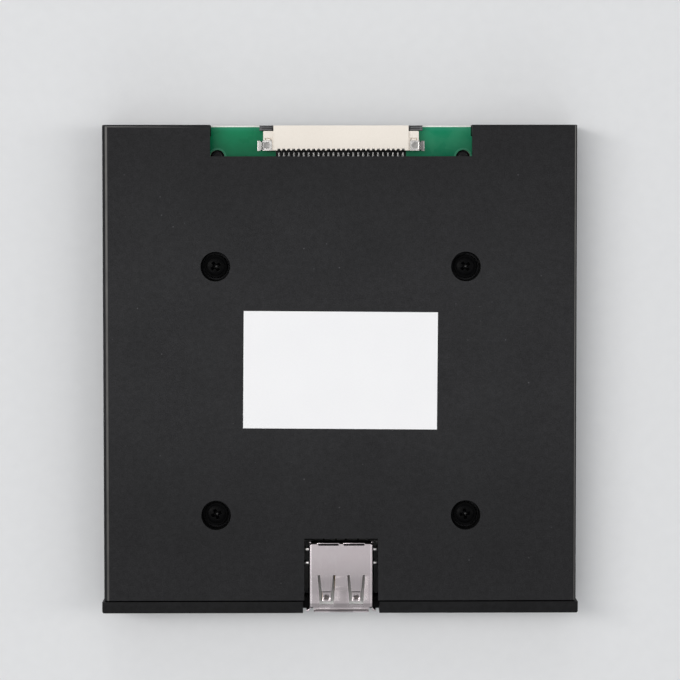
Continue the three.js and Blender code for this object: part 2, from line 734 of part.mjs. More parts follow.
const domeBody = dome();
["left", "right"].forEach((side, i) => {
  const g = new THREE.Group();
  g.position.set(BUTTON_X[i], 0, BUTTON_Z);
  model.add(g);
  part("button_cap_" + side, capBody, bezelBlack, g);
  part("switch_body_" + side, bodyOfSwitch, chipBlack, g);
  part("switch_plate_" + side, plateOfSwitch, tin, g);
  part("switch_plunger_" + side, plungerBody, nylon, g);
  part("switch_dome_" + side, domeBody, tin, g).position.set(0, -43.15, 0);
});

// ------------------------------------------------------------------ status lamp
part(
  "status_led",
  join(
    rod("Y", LED_R, -48.6, -44.7, LED_X, BUTTON_Z, 20),
    rod("Y", LED_R * 0.9, -48.9, -48.6, LED_X, BUTTON_Z, 20, LED_R),
    rod("Y", LED_R * 0.6, -49.1, -48.9, LED_X, BUTTON_Z, 20, LED_R * 0.9),
  ),
  clearRed,
);
part(
  "led_holder",
  cut(
    box(LED_X - 2.2, LED_X + 2.2, -46.3, -42.6, 2.6, PCB_Z - 0.08),
    rod("Y", LED_R + 0.1, -47, -44.6, LED_X, BUTTON_Z, 20),
  ),
  chipBlack,
);

// ------------------------------------------------------------------ parts on the board
// Bodies with leads: w along X, d along Y, leads on both Y sides (or on all four).
function chip(w, d, h, leads, pitch, leadW, four = false) {
  let c = prism("Y", [[-w / 2, 0.12], [w / 2, 0.12], [w / 2 - 0.08, h], [-w / 2 + 0.08, h]], -d / 2, d / 2);
  const foot = four ? 1.0 : 1.05;
  for (let i = 0; i < leads; i++) {
    const u = (i - (leads - 1) / 2) * pitch;
    for (const s of [-1, 1]) {
      const y0 = s < 0 ? -d / 2 - foot : d / 2 - 0.1;
      c = c.add(box(u - leadW / 2, u + leadW / 2, y0, y0 + foot + 0.1, 0.02, 0.2));
      if (four) {
        const x0 = s < 0 ? -w / 2 - foot : w / 2 - 0.1;
        c = c.add(box(x0, x0 + foot + 0.1, u - leadW / 2, u + leadW / 2, 0.02, 0.2));
      }
    }
  }
  return c;
}
const place = (mesh, x, y, under = false) => {
  if (under) mesh.rotation.x = Math.PI;
  mesh.position.set(x, y, under ? PCB_Z - 0.03 : PCB_TOP + 0.03);
  return mesh;
};
place(part("controller_chip", chip(10, 10, 1.5, 12, 0.8, 0.3, true), chipBlack), -2, 6);
place(part("buffer_chip", chip(8.7, 3.9, 1.6, 7, 1.27, 0.42), chipBlack), -4, 30);
place(part("memory_chip", chip(4.9, 3.9, 1.6, 4, 1.27, 0.42), chipBlack), 16, 6);
{
  let reg = box(-3.25, 3.25, -1.75, 1.75, 0.1, 1.7);
  reg = join(
    reg,
    box(-1.5, 1.5, 1.6, 3.5, 0.02, 0.3),
    ...[-2.3, 0, 2.3].map((x) => box(x - 0.36, x + 0.36, -3.5, -1.6, 0.02, 0.3)),
  );
  place(part("voltage_regulator", reg, chipBlack), -14, -22);
}
place(
  part(
    "crystal",
    join(
      prism("Z", roundRect(-5.7, 5.7, -2.3, 2.3, 2.25, 5), 0.6, 3.6),
      box(-6.2, 6.2, -2.45, 2.45, 0.02, 0.65),
    ),
    tin,
  ),
  12,
  16,
  true,
);
for (const [name, x, y] of [["supply_capacitor_1", -12, -30], ["supply_capacitor_2", -6, -22]])
  place(
    part(
      name,
      join(
        prism("Z", [[-2.65, -2.65], [1.7, -2.65], [2.65, -1.7], [2.65, 1.7], [1.7, 2.65], [-2.65, 2.65]], 0.02, 0.8),
        rod("Z", 2.5, 0.7, 4.2, 0, 0, 20),
      ),
      tin,
    ),
    x,
    y,
    true,
  );
place(part("resettable_fuse", box(-2.25, 2.25, -1.6, 1.6, 0.02, 0.85), fuseGreen), 12, -31);
place(part("ferrite_choke", box(-1.6, 1.6, -1.25, 1.25, 0.02, 1.4), chipBlack), 12, -25);
place(part("resistor_network_1", box(-2.55, 2.55, -1.6, 1.6, 0.02, 0.6), chipBlack), -10, 38);
place(part("resistor_network_2", box(-2.55, 2.55, -1.6, 1.6, 0.02, 0.6), chipBlack), 8, 38);

export default model;
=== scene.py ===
import math

import bmesh
import bpy
from mathutils import Matrix, Vector


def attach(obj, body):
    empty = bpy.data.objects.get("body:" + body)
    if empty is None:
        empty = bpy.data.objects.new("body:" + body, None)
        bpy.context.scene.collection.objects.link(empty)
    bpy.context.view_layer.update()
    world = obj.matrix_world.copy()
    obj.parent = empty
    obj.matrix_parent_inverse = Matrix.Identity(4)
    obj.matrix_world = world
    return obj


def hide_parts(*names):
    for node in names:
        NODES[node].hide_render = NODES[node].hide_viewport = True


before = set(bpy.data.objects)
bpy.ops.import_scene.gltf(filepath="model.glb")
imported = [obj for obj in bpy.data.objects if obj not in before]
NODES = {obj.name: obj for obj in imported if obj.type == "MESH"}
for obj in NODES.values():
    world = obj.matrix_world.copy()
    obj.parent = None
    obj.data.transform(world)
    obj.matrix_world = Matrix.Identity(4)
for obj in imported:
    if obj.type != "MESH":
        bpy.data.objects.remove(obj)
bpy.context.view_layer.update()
scene = bpy.context.scene
MM = 0.001

# Driving dimensions in millimetres, in the frame of the CAD model.
CASE_TOP = 12.6
BOARD_TOP = 8.0
SCREW_X = (-25.0, 25.3)
SCREW_Y = (-29.3, 20.8)
RECESS_FLOOR = 9.0
POST_X = (-24.7, 24.92)
POST_Y = 42.82
USB_X = 0.2
USB_W = 13.1
USB_Z0, USB_Z1 = 6.35, 12.05
USB_T = 0.3
FFC_X = 0.25
WAYS = 26
DISP_X, DISP_Z = 27.0, 6.3
BUTTONS = (("left", -29.0), ("right", -19.5))
BUTTON_Z = 4.65
LED_X = -38.5


# ---------------------------------------------------------------- camera
cam_data = bpy.data.cameras.new("camera")
cam_data.sensor_width = 36.0
cam_data.lens = 141.77
cam_data.clip_start = 0.01
cam_data.clip_end = 20.0
cam = bpy.data.objects.new("camera", cam_data)
scene.collection.objects.link(cam)
cam.location = (-0.00491, 0.03229, 0.550)
cam.rotation_euler = tuple(math.radians(a) for a in (-2.795, -0.525, -0.042))
scene.camera = cam


# ---------------------------------------------------------------- mesh helpers (millimetres)
def link(ob):
    scene.collection.objects.link(ob)
    return ob


def as_object(bm, name="work"):
    me = bpy.data.meshes.new(name)
    bmesh.ops.recalc_face_normals(bm, faces=bm.faces)
    bm.to_mesh(me)
    bm.free()
    return link(bpy.data.objects.new(name, me))


def drop(ob):
    me = ob.data
    bpy.data.objects.remove(ob)
    if me.users == 0:
        bpy.data.meshes.remove(me)


def settle(ob):
    """Turns an object's modifiers into its mesh."""
    dg = bpy.context.evaluated_depsgraph_get()
    me = bpy.data.meshes.new_from_object(ob.evaluated_get(dg))
    ob.modifiers.clear()
    old = ob.data
    ob.data = me
    if old.users == 0:
        bpy.data.meshes.remove(old)
    return ob


def boolean(ob, tool, op="DIFFERENCE", own=False):
    m = ob.modifiers.new("cut", "BOOLEAN")
    m.operation = op
    m.object = tool
    m.solver = "EXACT"
    m.use_self = own
    settle(ob)
    drop(tool)
    return ob


def add_prism(bm, axis, points, a, b):
    """An outline extruded along a row axis; points are (y, z) for X, (x, z) for Y, (x, y) for Z."""
    def at(u, v, w):
        return {"X": (w, u, v), "Y": (u, w, v), "Z": (u, v, w)}[axis]

    low = [bm.verts.new(at(u, v, a)) for u, v in points]
    high = [bm.verts.new(at(u, v, b)) for u, v in points]
    n = len(points)
    bm.faces.new(low[::-1])
    bm.faces.new(high)
    for i in range(n):
        j = (i + 1) % n
        bm.faces.new((low[i], low[j], high[j], high[i]))


def add_box(bm, x0, x1, y0, y1, z0, z1):
    add_prism(bm, "Z", [(x0, y0), (x1, y0), (x1, y1), (x0, y1)], z0, z1)


def arc(cx, cy, r, a0, a1, n):
    return [
        (cx + r * math.cos(math.radians(a0 + (a1 - a0) * i / n)), cy + r * math.sin(math.radians(a0 + (a1 - a0) * i / n)))
        for i in range(n + 1)
    ]


def round_rect(x0, x1, y0, y1, r, n=6):
    return (
        arc(x1 - r, y0 + r, r, -90, 0, n)
        + arc(x1 - r, y1 - r, r, 0, 90, n)
        + arc(x0 + r, y1 - r, r, 90, 180, n)
        + arc(x0 + r, y0 + r, r, 180, 270, n)
    )


def circle(cx, cy, r, n=32):
    return arc(cx, cy, r, 0, 360 - 360 / n, n - 1)


def add_lathe(bm, profile, seg=48, centre=(0, 0, 0), axis="Z"):
    """A turned solid; the profile is (r, h) pairs that start and end on the axis."""
    cx, cy, cz = centre
    rings = []
    for r, h in profile:
        def at(x, y):
            return {"Z": (cx + x, cy + y, cz + h), "Y": (cx + x, cy + h, cz + y)}[axis]

        if r < 1e-6:
            rings.append([bm.verts.new(at(0, 0))])
        else:
            rings.append([bm.verts.new(at(r * math.cos(2 * math.pi * i / seg), r * math.sin(2 * math.pi * i / seg))) for i in range(seg)])
    for p, q in zip(rings, rings[1:]):
        for i in range(seg):
            j = (i + 1) % seg
            if len(p) == 1 and len(q) == 1:
                continue
            if len(p) == 1:
                bm.faces.new((p[0], q[i], q[j]))
            elif len(q) == 1:
                bm.faces.new((p[i], q[0], p[j]))
            else:
                bm.faces.new((p[i], q[i], q[j], p[j]))


def bisect(ob, cuts):
    """Cuts the mesh along planes without parting it: cuts are (axis, value)."""
    bm = bmesh.new()
    bm.from_mesh(ob.data)
    for axis, value in cuts:
        no = {"X": (1, 0, 0), "Y": (0, 1, 0), "Z": (0, 0, 1)}[axis]
        co = tuple(value * c for c in no)
        bmesh.ops.bisect_plane(bm, geom=bm.verts[:] + bm.edges[:] + bm.faces[:], plane_co=co, plane_no=no, dist=1e-5)
    bm.to_mesh(ob.data)
    bm.free()


def smooth_group():
    """A node group that smooths faces and keeps edges over a given angle sharp."""
    ng = bpy.data.node_groups.new("smooth_by_angle", "GeometryNodeTree")
    ng.interface.new_socket("Geometry", in_out="INPUT", socket_type="NodeSocketGeometry")
    ng.interface.new_socket("Geometry", in_out="OUTPUT", socket_type="NodeSocketGeometry")
    a, b = ng.nodes.new("NodeGroupInput"), ng.nodes.new("NodeGroupOutput")
    s1, s2 = ng.nodes.new("GeometryNodeSetShadeSmooth"), ng.nodes.new("GeometryNodeSetShadeSmooth")
    s1.domain, s2.domain = "FACE", "EDGE"
    s2.inputs["Shade Smooth"].default_value = False
    ang = ng.nodes.new("GeometryNodeInputMeshEdgeAngle")
    cmp = ng.nodes.new("FunctionNodeCompare")
    cmp.data_type, cmp.operation = "FLOAT", "GREATER_THAN"
    cmp.inputs[1].default_value = math.radians(38)
    ng.links.new(a.outputs[0], s1.inputs["Geometry"])
    ng.links.new(s1.outputs[0], s2.inputs["Geometry"])
    ng.links.new(ang.outputs["Unsigned Angle"], cmp.inputs[0])
    ng.links.new(cmp.outputs[0], s2.inputs["Selection"])
    ng.links.new(s2.outputs[0], b.inputs[0])
    return ng


SMOOTH = smooth_group()


def soften(ob, width=0.0, segments=2, angle=32, cad=False, clamp=True):
    """Rounds the sharp edges by a width in millimetres and shades the rest smoothly."""
    if cad:
        w = ob.modifiers.new("weld", "WELD")
        w.merge_threshold = 2e-6
        d = ob.modifiers.new("planar", "DECIMATE")
        d.decimate_type = "DISSOLVE"
        d.angle_limit = math.radians(0.6)
    if width:
        b = ob.modifiers.new("edges", "BEVEL")
        b.width = width * MM
        b.segments = segments
        b.limit_method = "ANGLE"
        b.angle_limit = math.radians(angle)
        b.use_clamp_overlap = clamp
        b.harden_normals = False
        b.miter_outer = "MITER_ARC"
    s = ob.modifiers.new("smooth", "NODES")
    s.node_group = SMOOTH
    n = ob.modifiers.new("normals", "WEIGHTED_NORMAL")
    n.keep_sharp = True
    n.weight = 80


def finish_piece(ob, name, body, material, replaces=(), width=0.0, segments=2, angle=32, clamp=True):
    """Names a piece, brings it to metres, rounds it, gives it its material and its body."""
    ob.name = name
    ob.data.name = name
    ob.data.transform(Matrix.Scale(MM, 4))
    ob.data.materials.clear()
    for m in material if isinstance(material, (list, tuple)) else [material]:
        ob.data.materials.append(m)
    soften(ob, width, segments, angle, clamp=clamp)
    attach(ob, body)
    if replaces:
        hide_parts(*replaces)
    return ob


# ---------------------------------------------------------------- material helpers
class Finish:
    def __init__(self, name, color=(0.5, 0.5, 0.5), rough=0.5, metal=0.0, spec=0.5):
        self.m = bpy.data.materials.new(name)
        self.m.use_nodes = True
        self.t = self.m.node_tree
        self.p = self.t.nodes["Principled BSDF"]
        self.p.inputs["Base Color"].default_value = (*color, 1)
        self.p.inputs["Roughness"].default_value = rough
        self.p.inputs["Metallic"].default_value = metal
        self.p.inputs["Specular IOR Level"].default_value = spec
        self.tc = self.t.nodes.new("ShaderNodeTexCoord")
        self.co = self.tc.outputs["Object"]

    def put(self, value, socket):
        if hasattr(value, "is_linked") or isinstance(value, bpy.types.NodeSocket):
            self.t.links.new(value, socket)
        else:
            socket.default_value = value

    def stretched(self, scale, rotation=(0, 0, 0)):
        n = self.t.nodes.new("ShaderNodeMapping")
        self.t.links.new(self.co, n.inputs["Vector"])
        n.inputs["Scale"].default_value = scale
        n.inputs["Rotation"].default_value = rotation
        return n.outputs[0]

    def noise(self, scale, detail=2.0, rough=0.5, vec=None, distortion=0.0, offset=None):
        n = self.t.nodes.new("ShaderNodeTexNoise")
        n.inputs["Scale"].default_value = scale
        n.inputs["Detail"].default_value = detail
        n.inputs["Roughness"].default_value = rough
        n.inputs["Distortion"].default_value = distortion
        src = vec or self.co
        if offset:
            v = self.t.nodes.new("ShaderNodeVectorMath")
            v.operation = "ADD"
            self.t.links.new(src, v.inputs[0])
            v.inputs[1].default_value = offset
            src = v.outputs[0]
        self.t.links.new(src, n.inputs["Vector"])
        return n.outputs["Fac"]

    def voronoi(self, scale, feature="F1", vec=None):
        n = self.t.nodes.new("ShaderNodeTexVoronoi")
        n.feature = feature
        n.inputs["Scale"].default_value = scale
        self.t.links.new(vec or self.co, n.inputs["Vector"])
        return n

    def math(self, op, a, b=0.0, c=0.0, clamp=False):
        n = self.t.nodes.new("ShaderNodeMath")
        n.operation = op
        n.use_clamp = clamp
        for v, s in zip((a, b, c), n.inputs):
            self.put(v, s)
        return n.outputs[0]

    def remap(self, value, a0, a1, b0, b1, smooth=False):
        n = self.t.nodes.new("ShaderNodeMapRange")
        n.clamp = True
        if smooth:
            n.interpolation_type = "SMOOTHSTEP"
        self.put(value, n.inputs["Value"])
        for k, v in (("From Min", a0), ("From Max", a1), ("To Min", b0), ("To Max", b1)):
            n.inputs[k].default_value = v
        return n.outputs["Result"]

    def ramp(self, fac, stops):
        n = self.t.nodes.new("ShaderNodeValToRGB")
        self.put(fac, n.inputs["Fac"])
        r = n.color_ramp
        while len(r.elements) < len(stops):
            r.elements.new(0.5)
        for e, (pos, col) in zip(r.elements, stops):
            e.position = pos
            e.color = (*col, 1)
        return n.outputs["Color"]

    def mix(self, fac, a, b, mode="MIX"):
        n = self.t.nodes.new("ShaderNodeMix")
        n.data_type = "RGBA"
        n.blend_type = mode
        self.put(fac, n.inputs[0])
        for v, s in ((a, n.inputs[6]), (b, n.inputs[7])):
            if isinstance(v, tuple):
                s.default_value = (*v, 1) if len(v) == 3 else v
            else:
                self.t.links.new(v, s)
        return n.outputs[2]

    def bump(self, height, strength=0.3, distance=0.02, normal=None):
        n = self.t.nodes.new("ShaderNodeBump")
        n.inputs["Strength"].default_value = strength
        n.inputs["Distance"].default_value = distance * MM
        self.t.links.new(height, n.inputs["Height"])
        if normal is not None:
            self.t.links.new(normal, n.inputs["Normal"])
        return n.outputs[0]

    def axis(self, i, source=None):
        n = self.t.nodes.new("ShaderNodeSeparateXYZ")
        self.t.links.new(source or self.co, n.inputs[0])
        return n.outputs[i]

    def grey(self, value):
        n = self.t.nodes.new("ShaderNodeCombineXYZ")
        for s in n.inputs:
            self.put(value, s)
        return n.outputs[0]

    def near(self, x, y, r0, r1):
        """1 inside a circle in plan (millimetres), 0 outside it."""
        c = self.t.nodes.new("ShaderNodeCombineXYZ")
        self.t.links.new(self.axis(0), c.inputs[0])
        self.t.links.new(self.axis(1), c.inputs[1])
        n = self.t.nodes.new("ShaderNodeVectorMath")
        n.operation = "DISTANCE"
        self.t.links.new(c.outputs[0], n.inputs[0])
        n.inputs[1].default_value = (x * MM, y * MM, 0)
        return self.remap(n.outputs["Value"], r0 * MM, r1 * MM, 1.0, 0.0)

    def band(self, value, a0, a1, b0, b1):
        """Rises from a0 to a1, falls from b0 to b1."""
        return self.math("MULTIPLY", self.remap(value, a0, a1, 0.0, 1.0, smooth=True), self.remap(value, b0, b1, 1.0, 0.0, smooth=True))

    def patch(self, x0, x1, y0, y1, soft=0.03):
        """1 inside a rectangle in plan (millimetres), 0 outside it."""
        e = soft * MM
        px = self.band(self.axis(0), x0 * MM - e, x0 * MM + e, x1 * MM - e, x1 * MM + e)
        py = self.band(self.axis(1), y0 * MM - e, y0 * MM + e, y1 * MM - e, y1 * MM + e)
        return self.math("MULTIPLY", px, py)

    def set(self, **kw):
        for k, v in kw.items():
            s = self.p.inputs[{"color": "Base Color", "rough": "Roughness", "normal": "Normal", "metal": "Metallic"}.get(k, k)]
            self.put(v, s)
        return self.m


def moulded(name, dark, light, rough=(0.5, 0.6), spec=0.5, grain=9000, bump=0.12, depth=0.02, mottle=0.08, specks=0.0, medium=0.0, edges=None, pits=False, enclosed=None, ribs=None, sill=False):
    """Moulded plastic: a fine eroded grain, soft cloudy variation and, along rounded edges, a painted highlight line.
    """
    f = Finish(name, dark, rough[0], 0.0, spec)
    fine = f.noise(grain, 3.0, 0.6)
    cloud = f.noise(70, 3.0, 0.55, offset=(0.3, 0.1, 0.7))
    amount = f.math("ADD", f.remap(fine, 0.3, 0.7, 0.0, 1.0 - mottle), f.remap(cloud, 0.3, 0.7, 0.0, mottle))
    color = f.ramp(amount, [(0.0, dark), (1.0, light)])
    if medium:
        patch = f.noise(1150, 2.0, 0.5, offset=(0.05, 0.02, 0.4))
        k = f.remap(patch, 0.3, 0.7, 1.0 - medium, 1.0 + medium)
        color = f.mix(1.0, color, f.grey(k), "MULTIPLY")
    if specks:
        v = f.voronoi(420)
        pick = f.remap(f.axis(0, v.outputs["Color"]), 0.68, 0.98, 0.0, 1.0)
        dot = f.remap(v.outputs["Distance"], 0.025, 0.080, 1.0, 0.0)
        color = f.mix(f.math("MULTIPLY", f.math("MULTIPLY", pick, dot), specks), color, tuple(min(1.0, 3.6 * c) for c in light))
    r = f.remap(f.noise(1600, 2.0), 0.3, 0.7, rough[0], rough[1])
    if pits:
        # painted shade on the walls of the screw recesses, and their floors beside the heads painted lighter as painted
        # light
        upper = f.remap(f.axis(2), 8.4 * MM, 8.8 * MM, 0.0, 1.0)
        for sx in SCREW_X:
            for sy in SCREW_Y:
                inside = f.math("MULTIPLY", f.near(sx, sy, 2.93, 3.03), upper)
                deep = f.math("MULTIPLY", f.near(sx, sy, 2.60, 2.85), upper)
                color = f.mix(inside, color, tuple(0.12 * c for c in dark))
                color = f.mix(deep, color, tuple(2.1 * c for c in dark))
                r = f.math("MAXIMUM", r, f.math("MULTIPLY", inside, 0.95))
        # the flat is painted a little lighter across the middle, as a painted sheen
        color = f.mix(1.0, color, f.grey(f.remap(f.math("ABSOLUTE", f.math("SUBTRACT", f.axis(1), 0.006)), 0.008, 0.042, 1.30, 0.97, smooth=True)), "MULTIPLY")
        # a pale patch painted on the inner floor in the receptacle's bay stands in for light reaching down the gaps,
        # paler beside the shell than behind it
        bay_floor_light = f.math("MULTIPLY", f.patch(USB_X - 8.2, USB_X + 8.2, -49.0, -34.0, 0.3), f.band(f.axis(2), 1.2 * MM, 1.4 * MM, 1.6 * MM, 1.8 * MM))
        pale = f.remap(f.axis(1), -35.9 * MM, -35.7 * MM, 0.36, 0.06)
        side = f.remap(f.math("ABSOLUTE", f.math("SUBTRACT", f.axis(0), USB_X * MM)), 5.6 * MM, 6.0 * MM, 0.0, 1.0)
        pale = f.math("ADD", f.math("MULTIPLY", pale, side), f.math("MULTIPLY", f.math("SUBTRACT", 1.0, side), 0.14))
        bay_floor_light = f.math("MULTIPLY", bay_floor_light, f.math("MAXIMUM", side, f.remap(f.axis(1), -36.1 * MM, -35.9 * MM, 0.0, 1.0)))
        color = f.mix(bay_floor_light, color, f.grey(pale))
    if edges:
        n = f.tc.outputs["Normal"]
        nx, ny, nz = f.axis(0, n), f.axis(1, n), f.math("ABSOLUTE", f.axis(2, n))
        y = f.axis(1)
        # the line runs a little further out on the right-hand edge
        hand = f.math("GREATER_THAN", nx, 0.0)
        side = f.math("GREATER_THAN", f.math("ABSOLUTE", nx), f.math("ABSOLUTE", ny))
        left = f.math("MULTIPLY", f.band(nz, *edges["left"]), 0.8)
        right = f.band(nz, *edges["right"])
        n1 = f.t.nodes.new("ShaderNodeMix")
        n1.data_type = "FLOAT"
        f.put(hand, n1.inputs[0])
        f.put(left, n1.inputs[2])
        f.put(right, n1.inputs[3])
        line = f.math("MULTIPLY", n1.outputs[0], f.remap(y, -0.049, 0.045, edges["front"], 1.0))
        ends = f.math("MULTIPLY", f.band(nz, *edges["left"]), edges["ends"])
        n2 = f.t.nodes.new("ShaderNodeMix")
        n2.data_type = "FLOAT"
        f.put(side, n2.inputs[0])
        f.put(ends, n2.inputs[2])
        f.put(line, n2.inputs[3])
        # on the left the line reaches a little way on to the flat
        flat = f.math("MULTIPLY", f.remap(nz, 0.990, 0.999, 0.0, 1.0), f.band(f.axis(0), -46.72 * MM, -46.68 * MM, -46.63 * MM, -46.56 * MM))
        flat = f.math("MULTIPLY", flat, f.remap(y, -0.049, 0.045, 0.8 * edges["front"], 0.8))
        # painted highlight line along the rounded edges, a little uneven along its length
        edge_highlight = f.math("MAXIMUM", n2.outputs[0], flat)
        edge_highlight = f.math("MULTIPLY", edge_highlight, f.remap(f.noise(340, 3.0), 0.25, 0.75, 0.8, 1.15))
        color = f.mix(edge_highlight, color, edges["color"])
    if sill:
        # painted shade in the bottom of the receptacle's bay
        bay = f.math("MULTIPLY", f.patch(USB_X - 7.9, USB_X + 7.9, -49.12, -46.0, 0.02), f.remap(f.axis(2), 5.5 * MM, 6.5 * MM, 1.0, 0.0))
        bay = f.math("MULTIPLY", bay, f.remap(f.axis(2), 5.0 * MM, 5.2 * MM, 0.0, 1.0))
        color = f.mix(1.0, color, f.grey(f.remap(bay, 0.0, 1.0, 1.0, 0.15)), "MULTIPLY")
    if enclosed is not None:
        # painted shade beyond the given y, where the part lies enclosed
        color = f.mix(1.0, color, f.grey(f.remap(f.axis(1), (enclosed - 0.1) * MM, (enclosed + 0.1) * MM, 1.0, 0.01)), "MULTIPLY")
    if ribs:
        # ribbed ears: painted highlight along the ribs, painted shade between them
        first, pitch, from_x = ribs
        wave = f.math("COSINE", f.math("MULTIPLY", f.math("SUBTRACT", f.axis(1), first * MM), 2 * math.pi / (pitch * MM)))
        ear = f.math("MULTIPLY", f.remap(f.math("ABSOLUTE", f.math("SUBTRACT", f.axis(0), FFC_X * MM)), from_x * MM, (from_x + 0.05) * MM, 0.0, 1.0), f.remap(f.axis(2), 9.3 * MM, 9.4 * MM, 0.0, 1.0))
        color = f.mix(ear, color, f.mix(1.0, color, f.grey(f.remap(wave, -1.0, 1.0, 0.25, 1.75)), "MULTIPLY"))
    return f.set(color=color, rough=r, normal=f.bump(fine, bump, depth))


def plated(name, color, rough=(0.25, 0.38), streak=(0, 0, 0), tint=0.05, bump=0.06, smudge=0.5):
    """Plated sheet metal: rolled streaks, soft smudges and a slightly uneven gloss."""
    f = Finish(name, color, rough[0], 1.0)
    scale = (900, 900, 900) if streak == (0, 0, 0) else streak
    lines = f.noise(1.0, 4.0, 0.65, vec=f.stretched(scale))
    cloud = f.noise(260, 3.0, 0.6, offset=(0.2, 0.5, 0.1))
    low = tuple(c * (1 - tint * 1.6) for c in color)
    high = tuple(min(1.0, c * (1 + tint)) for c in color)
    both = f.math("ADD", f.math("MULTIPLY", lines, 0.45), f.math("MULTIPLY", cloud, 0.55))
    col = f.ramp(f.remap(both, 0.3, 0.7, 0.0, 1.0), [(0.0, low), (0.5, color), (1.0, high)])
    r = f.remap(f.math("ADD", f.math("MULTIPLY", cloud, smudge), f.math("MULTIPLY", lines, 1 - smudge)), 0.3, 0.7, rough[1], rough[0])
    return f.set(color=col, rough=r, normal=f.bump(lines, bump, 0.01))


# ---------------------------------------------------------------- finishes
# colour and bands of the painted highlight line along the case's rounded edges
EDGE = {"color": (0.180, 0.175, 0.168), "left": (0.905, 0.945, 0.9985, 0.99995), "right": (0.69, 0.76, 0.85, 0.885), "front": 0.45, "ends": 0.0}
case_black = moulded("case_black", (0.0108, 0.0108, 0.0116), (0.0232, 0.0232, 0.0246), (0.50, 0.60), spec=0.10, grain=4200, bump=0.35, depth=0.03, mottle=0.22, specks=0.8, medium=0.12, edges=EDGE, pits=True)
bezel_black = moulded("bezel_black", (0.0030, 0.0030, 0.0034), (0.0092, 0.0092, 0.0100), (0.40, 0.50), spec=0.12, grain=5200, bump=0.30, depth=0.02, mottle=0.25, specks=0.6, medium=0.32, sill=True)
button_black = moulded("button_black", (0.008, 0.008, 0.009), (0.013, 0.013, 0.015), (0.34, 0.42), spec=0.4, grain=7000, bump=0.12, depth=0.015, mottle=0.2)


def make_label():
    f = Finish("label_paper", (0.88, 0.88, 0.89), 0.6, 0.0, 0.3)
    fibre = f.noise(1.0, 4.0, 0.65, vec=f.stretched((2600, 4200, 3000), (0, 0, 0.5)), distortion=0.6)
    cloud = f.noise(90, 2.0)
    k = f.math("ADD", f.math("MULTIPLY", fibre, 0.6), f.math("MULTIPLY", cloud, 0.4))
    col = f.ramp(f.remap(k, 0.3, 0.7, 0.0, 1.0), [(0.0, (0.865, 0.862, 0.875)), (1.0, (0.905, 0.903, 0.912))])
    return f.set(color=col, rough=f.remap(fibre, 0.3, 0.7, 0.5, 0.68), normal=f.bump(fibre, 0.25, 0.015))


